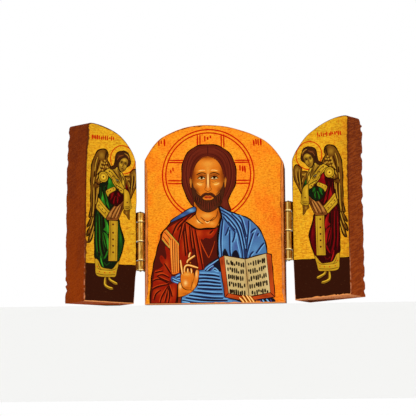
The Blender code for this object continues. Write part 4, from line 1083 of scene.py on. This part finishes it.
    picture.area("band",
        [(7.7, 62.1), (6, 61.6), (4.4, 59.4), (3.4, 53.5), (3.7, 51.7), (7.6, 51.1), (7.7, 58.5)],
        [((6.6, 58), 0.6, 3.2, "band_light", 0.7), ((4.3, 56), 0.7, 3.8, "olive_deep", 0.6),
         ((5.6, 51.7), 1.9, 0.65, "olive_deep", 0.6)], edge=("soot", 0.38))
    picture.dots("maroon", 0.43, (5.8, 55))
    picture.line("umber", 0.24, [(7.6, 52.9), (5.6, 52.7), (3.6, 53.4)],
        [(7.5, 52), (5.6, 51.9), (3.8, 52.6)])
    picture.area("feather", [(7.5, 50.7), (5.5, 50.5), (4.3, 51.1), (4.5, 48.8), (4.4, 45.7), (5.5, 46.5),
        (6.5, 48.3), (8, 49.4)], [((6.2, 49.3), 0.6, 0.87, "feather_light", 0.7)], edge=("soot", 0.27))

    # The head, bowed to the middle board.
    picture.area("hair_wing", [(8.7, 82.9), (11.1, 82.2), (12.6, 80.5), (13.6, 76.1), (14.2, 74.4),
        (16.2, 73.5), (15.9, 72.6), (13.6, 73), (11.8, 74.2), (9.6, 71.6), (5.7, 74.6), (4.4, 75.5),
        (3.7, 77.4), (4.7, 81.3), (6.4, 82.6)],
        [((10.2, 80.1), 1.5, 0.65, "sleeve", 0.5), ((12.3, 76.7), 0.9, 1.6, "soot", 0.5)],
        edge=("soot", 0.43))
    bowed_face(picture)


for side, robe, bundle, stretch, shift in (("left", greens, crimsons, (1.0, 1.0), (0.0, 0.0)),
                                           ("right", crimsons, greens, (0.971, 0.982), (1.97, 2.1))):
    body = f"{side}_wing"
    axis, turn = hinge_axes[body] * 1000, wing_turns[body]
    pivot = 0.001 * Vector((axis.x, axis.y, 0.0))
    outward = -1 if side == "left" else 1
    rim = [(outward * across - barrel_reach, height)
           for across, height in front_rim(nodes[f"{side}_wing_panel"], turn, pivot, wing_front)]
    dyes = {cloth + tone: colour for cloth, tones in (("cloth", robe), ("bundle", bundle))
            for tone, colour in tones.items()}
    picture = Picture("wing_gold", rim, {**wing_pigments, **dyes},
                      [((37, 46), 8, 90, "gold_brown", 0.8), ((34, 90), 10, 12, "gold_brown", 0.25),
                       ((12, 40), 12, 30, "gold_warm", 0.25)])
    picture.stretch, picture.shift = np.array(stretch), np.array(shift)
    angel(picture)
    picture.rows("line_red", [((27.4, 90.6), (13.2, 90.6))], 2.6, len(side), 0.7, 1.2)
    inner, outer = (0.25, 0.75) if side == "left" else (0.2, 0.3)

    def rubbed_back(across, height):
        return (inner + outer * (across > 28) * (0.4 + height / 160)) * (height > 3)

    picture.worn_rim("rim_brown", 0.8, rubbed_back)
    picture.worn_rim("raw_wood", 0.22, lambda across, height: 1.0 * (height < 4))
    level, slant = cos(radians(turn)), sin(radians(turn))

    def to_wing(across, height):
        """A place on the flat picture, turned with the wing on its hinge."""
        x, y = outward * (barrel_reach + across), wing_front - sheet_gap
        return (0.001 * (axis.x + level * x - slant * y), 0.001 * (axis.y + slant * x + level * y),
                0.001 * height)

    skin = placed(f"{side}_painting", picture.mesh(f"{side}_painting", to_wing, mirrored=side == "left"),
                  varnished(f"{side}_paint", turn, pivot, patches=0.25, dashes=0.75))
    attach(skin, body)

# ======================================================================================
# The hinges: two small butt hinges of pressed brass. Each has four rolled knuckles on a
# loose pin, rubbed bright and dull in patches, with a painted highlight at each knuckle's end
# and painted shadow in the seams, and is held by four small screws in the sides of the boards.
# ======================================================================================

knuckles = (5.3, 10.7, 10.3, 5.5)


def brass(name, bright, dull, roughness, tops=()):
    """Rubbed brass with painted highlights and painted shade; tops are (side, height of the top end) of the
    hinges that get a painted highlight and shadow at each knuckle seam.
    """
    metal = Finish(name)
    point = metal.place()
    across, _, height = metal.parts(point)
    turned = metal.parts(metal.node("ShaderNodeNewGeometry", out="Normal"))[0]
    rubbed = metal.noise(point, (0.9, 0.9, 4.5), 4.0, 0.6, 0.3)
    scratches = metal.noise(point, (0.2, 0.2, 2.0), 3.0, 0.65)
    pits = metal.noise(point, roughness=0.7, scale=2.4)
    # Painted light by which way the surface faces: a painted highlight where it turns a little to the left,
    # and painted shade in patches where it turns a little to the right.
    painted_highlight = abs(turned + 0.25).below(0.16, 0.14)
    shade = abs(turned - 0.35).below(0.14, 0.14)
    colour = metal.layered(metal.mix(rubbed.above(0.5, 0.12), bright, dull),
                           (scratches.above(0.55, 0.08) * 0.75, rgb(104, 62, 14)),
                           (pits.above(0.60, 0.08) * 0.4, rgb(84, 50, 14)),
                           # Painted shade over all brass right of the middle: the right-hand hinge, its pin
                           # and its screws.
                           (across.above(0.0, 1.0) * 0.55, rgb(122, 78, 20)),
                           (painted_highlight * 0.7, rgb(255, 214, 122)),
                           (shade * rubbed.above(0.42, 0.1) * 0.7, rgb(96, 58, 14)))
    # At every seam between knuckles: a painted highlight on the end of the knuckle above it (lip), and a
    # painted shadow in the seam itself.
    for side, top in tops:
        here = (across * side).above(0.0, 1.0)
        for seam in (0.0, *np.cumsum(knuckles)):
            up = height - (top - seam)
            painted_seam_shadow = abs(up + 0.12).below(0.26, 0.08)
            lip = abs(up - 0.55).below(0.26, 0.14)
            colour = metal.layered(colour, (here * lip * 0.85, rgb(255, 230, 156)),
                                   (here * painted_seam_shadow * 0.9, rgb(46, 24, 6)))
    return metal.set(Base_Color=colour, Metallic=1.0, Roughness=roughness + 0.25 * rubbed,
                     Normal=metal.bump(scratches + 0.5 * rubbed, 0.05, 0.6))


hinge_tops = {"left": 50.0, "right": 54.6}
leaf_brass = brass("hinge_brass", rgb(228, 172, 70), rgb(168, 112, 34), 0.2,
                   ((-1, hinge_tops["left"]), (1, hinge_tops["right"])))
pin_brass = brass("pin_brass", rgb(214, 168, 92), rgb(140, 98, 44), 0.28)
screw_brass = brass("screw_brass", rgb(222, 178, 100), rgb(150, 106, 50), 0.26)
for ending, metal in (("_leaf", leaf_brass), ("_pin", pin_brass), ("_screw", screw_brass)):
    for name, obj in nodes.items():
        if name.endswith(ending):
            dress(obj, metal)

# ======================================================================================
# The leaf lips: the front edge of each wing's brass leaf, pressed thin beside the knuckles
# that belong to the middle board. It closes the view between barrel and wing, and clears
# the barrel by 0.1 mm.
# ======================================================================================

for side, top in hinge_tops.items():
    body = f"{side}_wing"
    outward = -1 if side == "left" else 1
    aside, forward, thick, deep, clear = 2.05, 0.15, 0.2, 2.2, 0.15
    lip = bmesh.new()
    for row in (1, 3):
        high = top - sum(knuckles[:row]) - clear
        low = top - sum(knuckles[:row + 1]) + clear
        corners = bmesh.ops.create_cube(lip, size=1.0)["verts"]
        bmesh.ops.scale(lip, verts=corners, vec=(thick, deep, high - low))
        bmesh.ops.translate(lip, verts=corners,
                            vec=(outward * aside, forward + deep / 2, (high + low) / 2))
    to_hinge = Matrix.Translation((hinge_axes[body].x, hinge_axes[body].y, 0.0))
    to_hinge = to_hinge @ Matrix.Rotation(radians(wing_turns[body]), 4, "Z") @ Matrix.Scale(0.001, 4)
    bmesh.ops.transform(lip, verts=lip.verts, matrix=to_hinge)
    lip_mesh = bpy.data.meshes.new(f"{side}_leaf_lip")
    lip.to_mesh(lip_mesh)
    lip.free()
    leaf_lip = placed(f"{side}_leaf_lip", lip_mesh, leaf_brass)
    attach(leaf_lip, body)

# ======================================================================================
# The shelf and the light: the triptych stands at the front edge of a pale paper shelf, the
# wings out over the edge, in soft studio light. It is seen from 7 degrees below level.
# ======================================================================================

shelf_reach, shelf_overhang, shelf_drop = 1.5, 0.008, 0.0002
shelf = bmesh.new()
bmesh.ops.create_grid(shelf, x_segments=1, y_segments=1, size=shelf_reach)
bmesh.ops.translate(shelf, verts=shelf.verts, vec=(0.0, shelf_reach - shelf_overhang, -shelf_drop))
shelf_mesh = bpy.data.meshes.new("shelf")
shelf.to_mesh(shelf_mesh)
shelf.free()
shelf_top = placed("shelf", shelf_mesh, Finish("pale_paper").set(Base_Color=rgb(244, 244, 242),
                                                                 Roughness=0.8))

world = bpy.data.worlds.new("pale_room")
bpy.context.scene.world = world
world.use_nodes = True
room_light = world.node_tree.nodes["Background"].inputs
room_light["Color"].default_value = (1.0, 1.0, 1.0, 1.0)
room_light["Strength"].default_value = 1.0


def softbox(name, place, target, size, power, colour=(1.0, 1.0, 1.0)):
    light = bpy.data.lights.new(name, "AREA")
    light.shape, light.size, light.energy, light.color = "DISK", size, power, colour
    lamp = bpy.data.objects.new(name, light)
    lamp.location = place
    lamp.rotation_euler = (Vector(target) - Vector(place)).to_track_quat("-Z", "Y").to_euler()
    bpy.context.scene.collection.objects.link(lamp)


softbox("key_light", (-0.55, -0.95, 0.85), (0.0, 0.0, 0.05), 0.55, 3.2, (1.0, 0.98, 0.95))
softbox("fill_light", (0.85, -0.7, 0.35), (0.0, 0.0, 0.05), 0.6, 1.4)

# The camera looks at the middle of the front from 0.95 m, 4 degrees to the right of it.
looking_at = Vector((0.0, -0.011, 0.048))
azimuth, elevation, roll, distance = radians(4.0), radians(-7.0), radians(0.5), 0.95
back = Vector((sin(azimuth) * cos(elevation), -cos(azimuth) * cos(elevation), sin(elevation)))
level = Vector((cos(azimuth), sin(azimuth), 0.0))
upward = back.cross(level)
camera_right = level * cos(roll) - upward * sin(roll)
camera_up = level * sin(roll) + upward * cos(roll)
turn = Matrix((camera_right, camera_up, back)).transposed().to_4x4()
camera = bpy.data.cameras.new("camera")
camera.sensor_width = 36.0
seen_across = 0.22521
camera.lens = camera.sensor_width * distance / seen_across
camera.shift_x, camera.shift_y = -0.01486, 0.01683
camera.clip_start = 0.05
viewer = bpy.data.objects.new("camera", camera)
viewer.matrix_world = Matrix.Translation(looking_at + back * distance) @ turn
bpy.context.scene.collection.objects.link(viewer)
bpy.context.scene.camera = viewer
bpy.context.scene.view_settings.view_transform = "Standard"
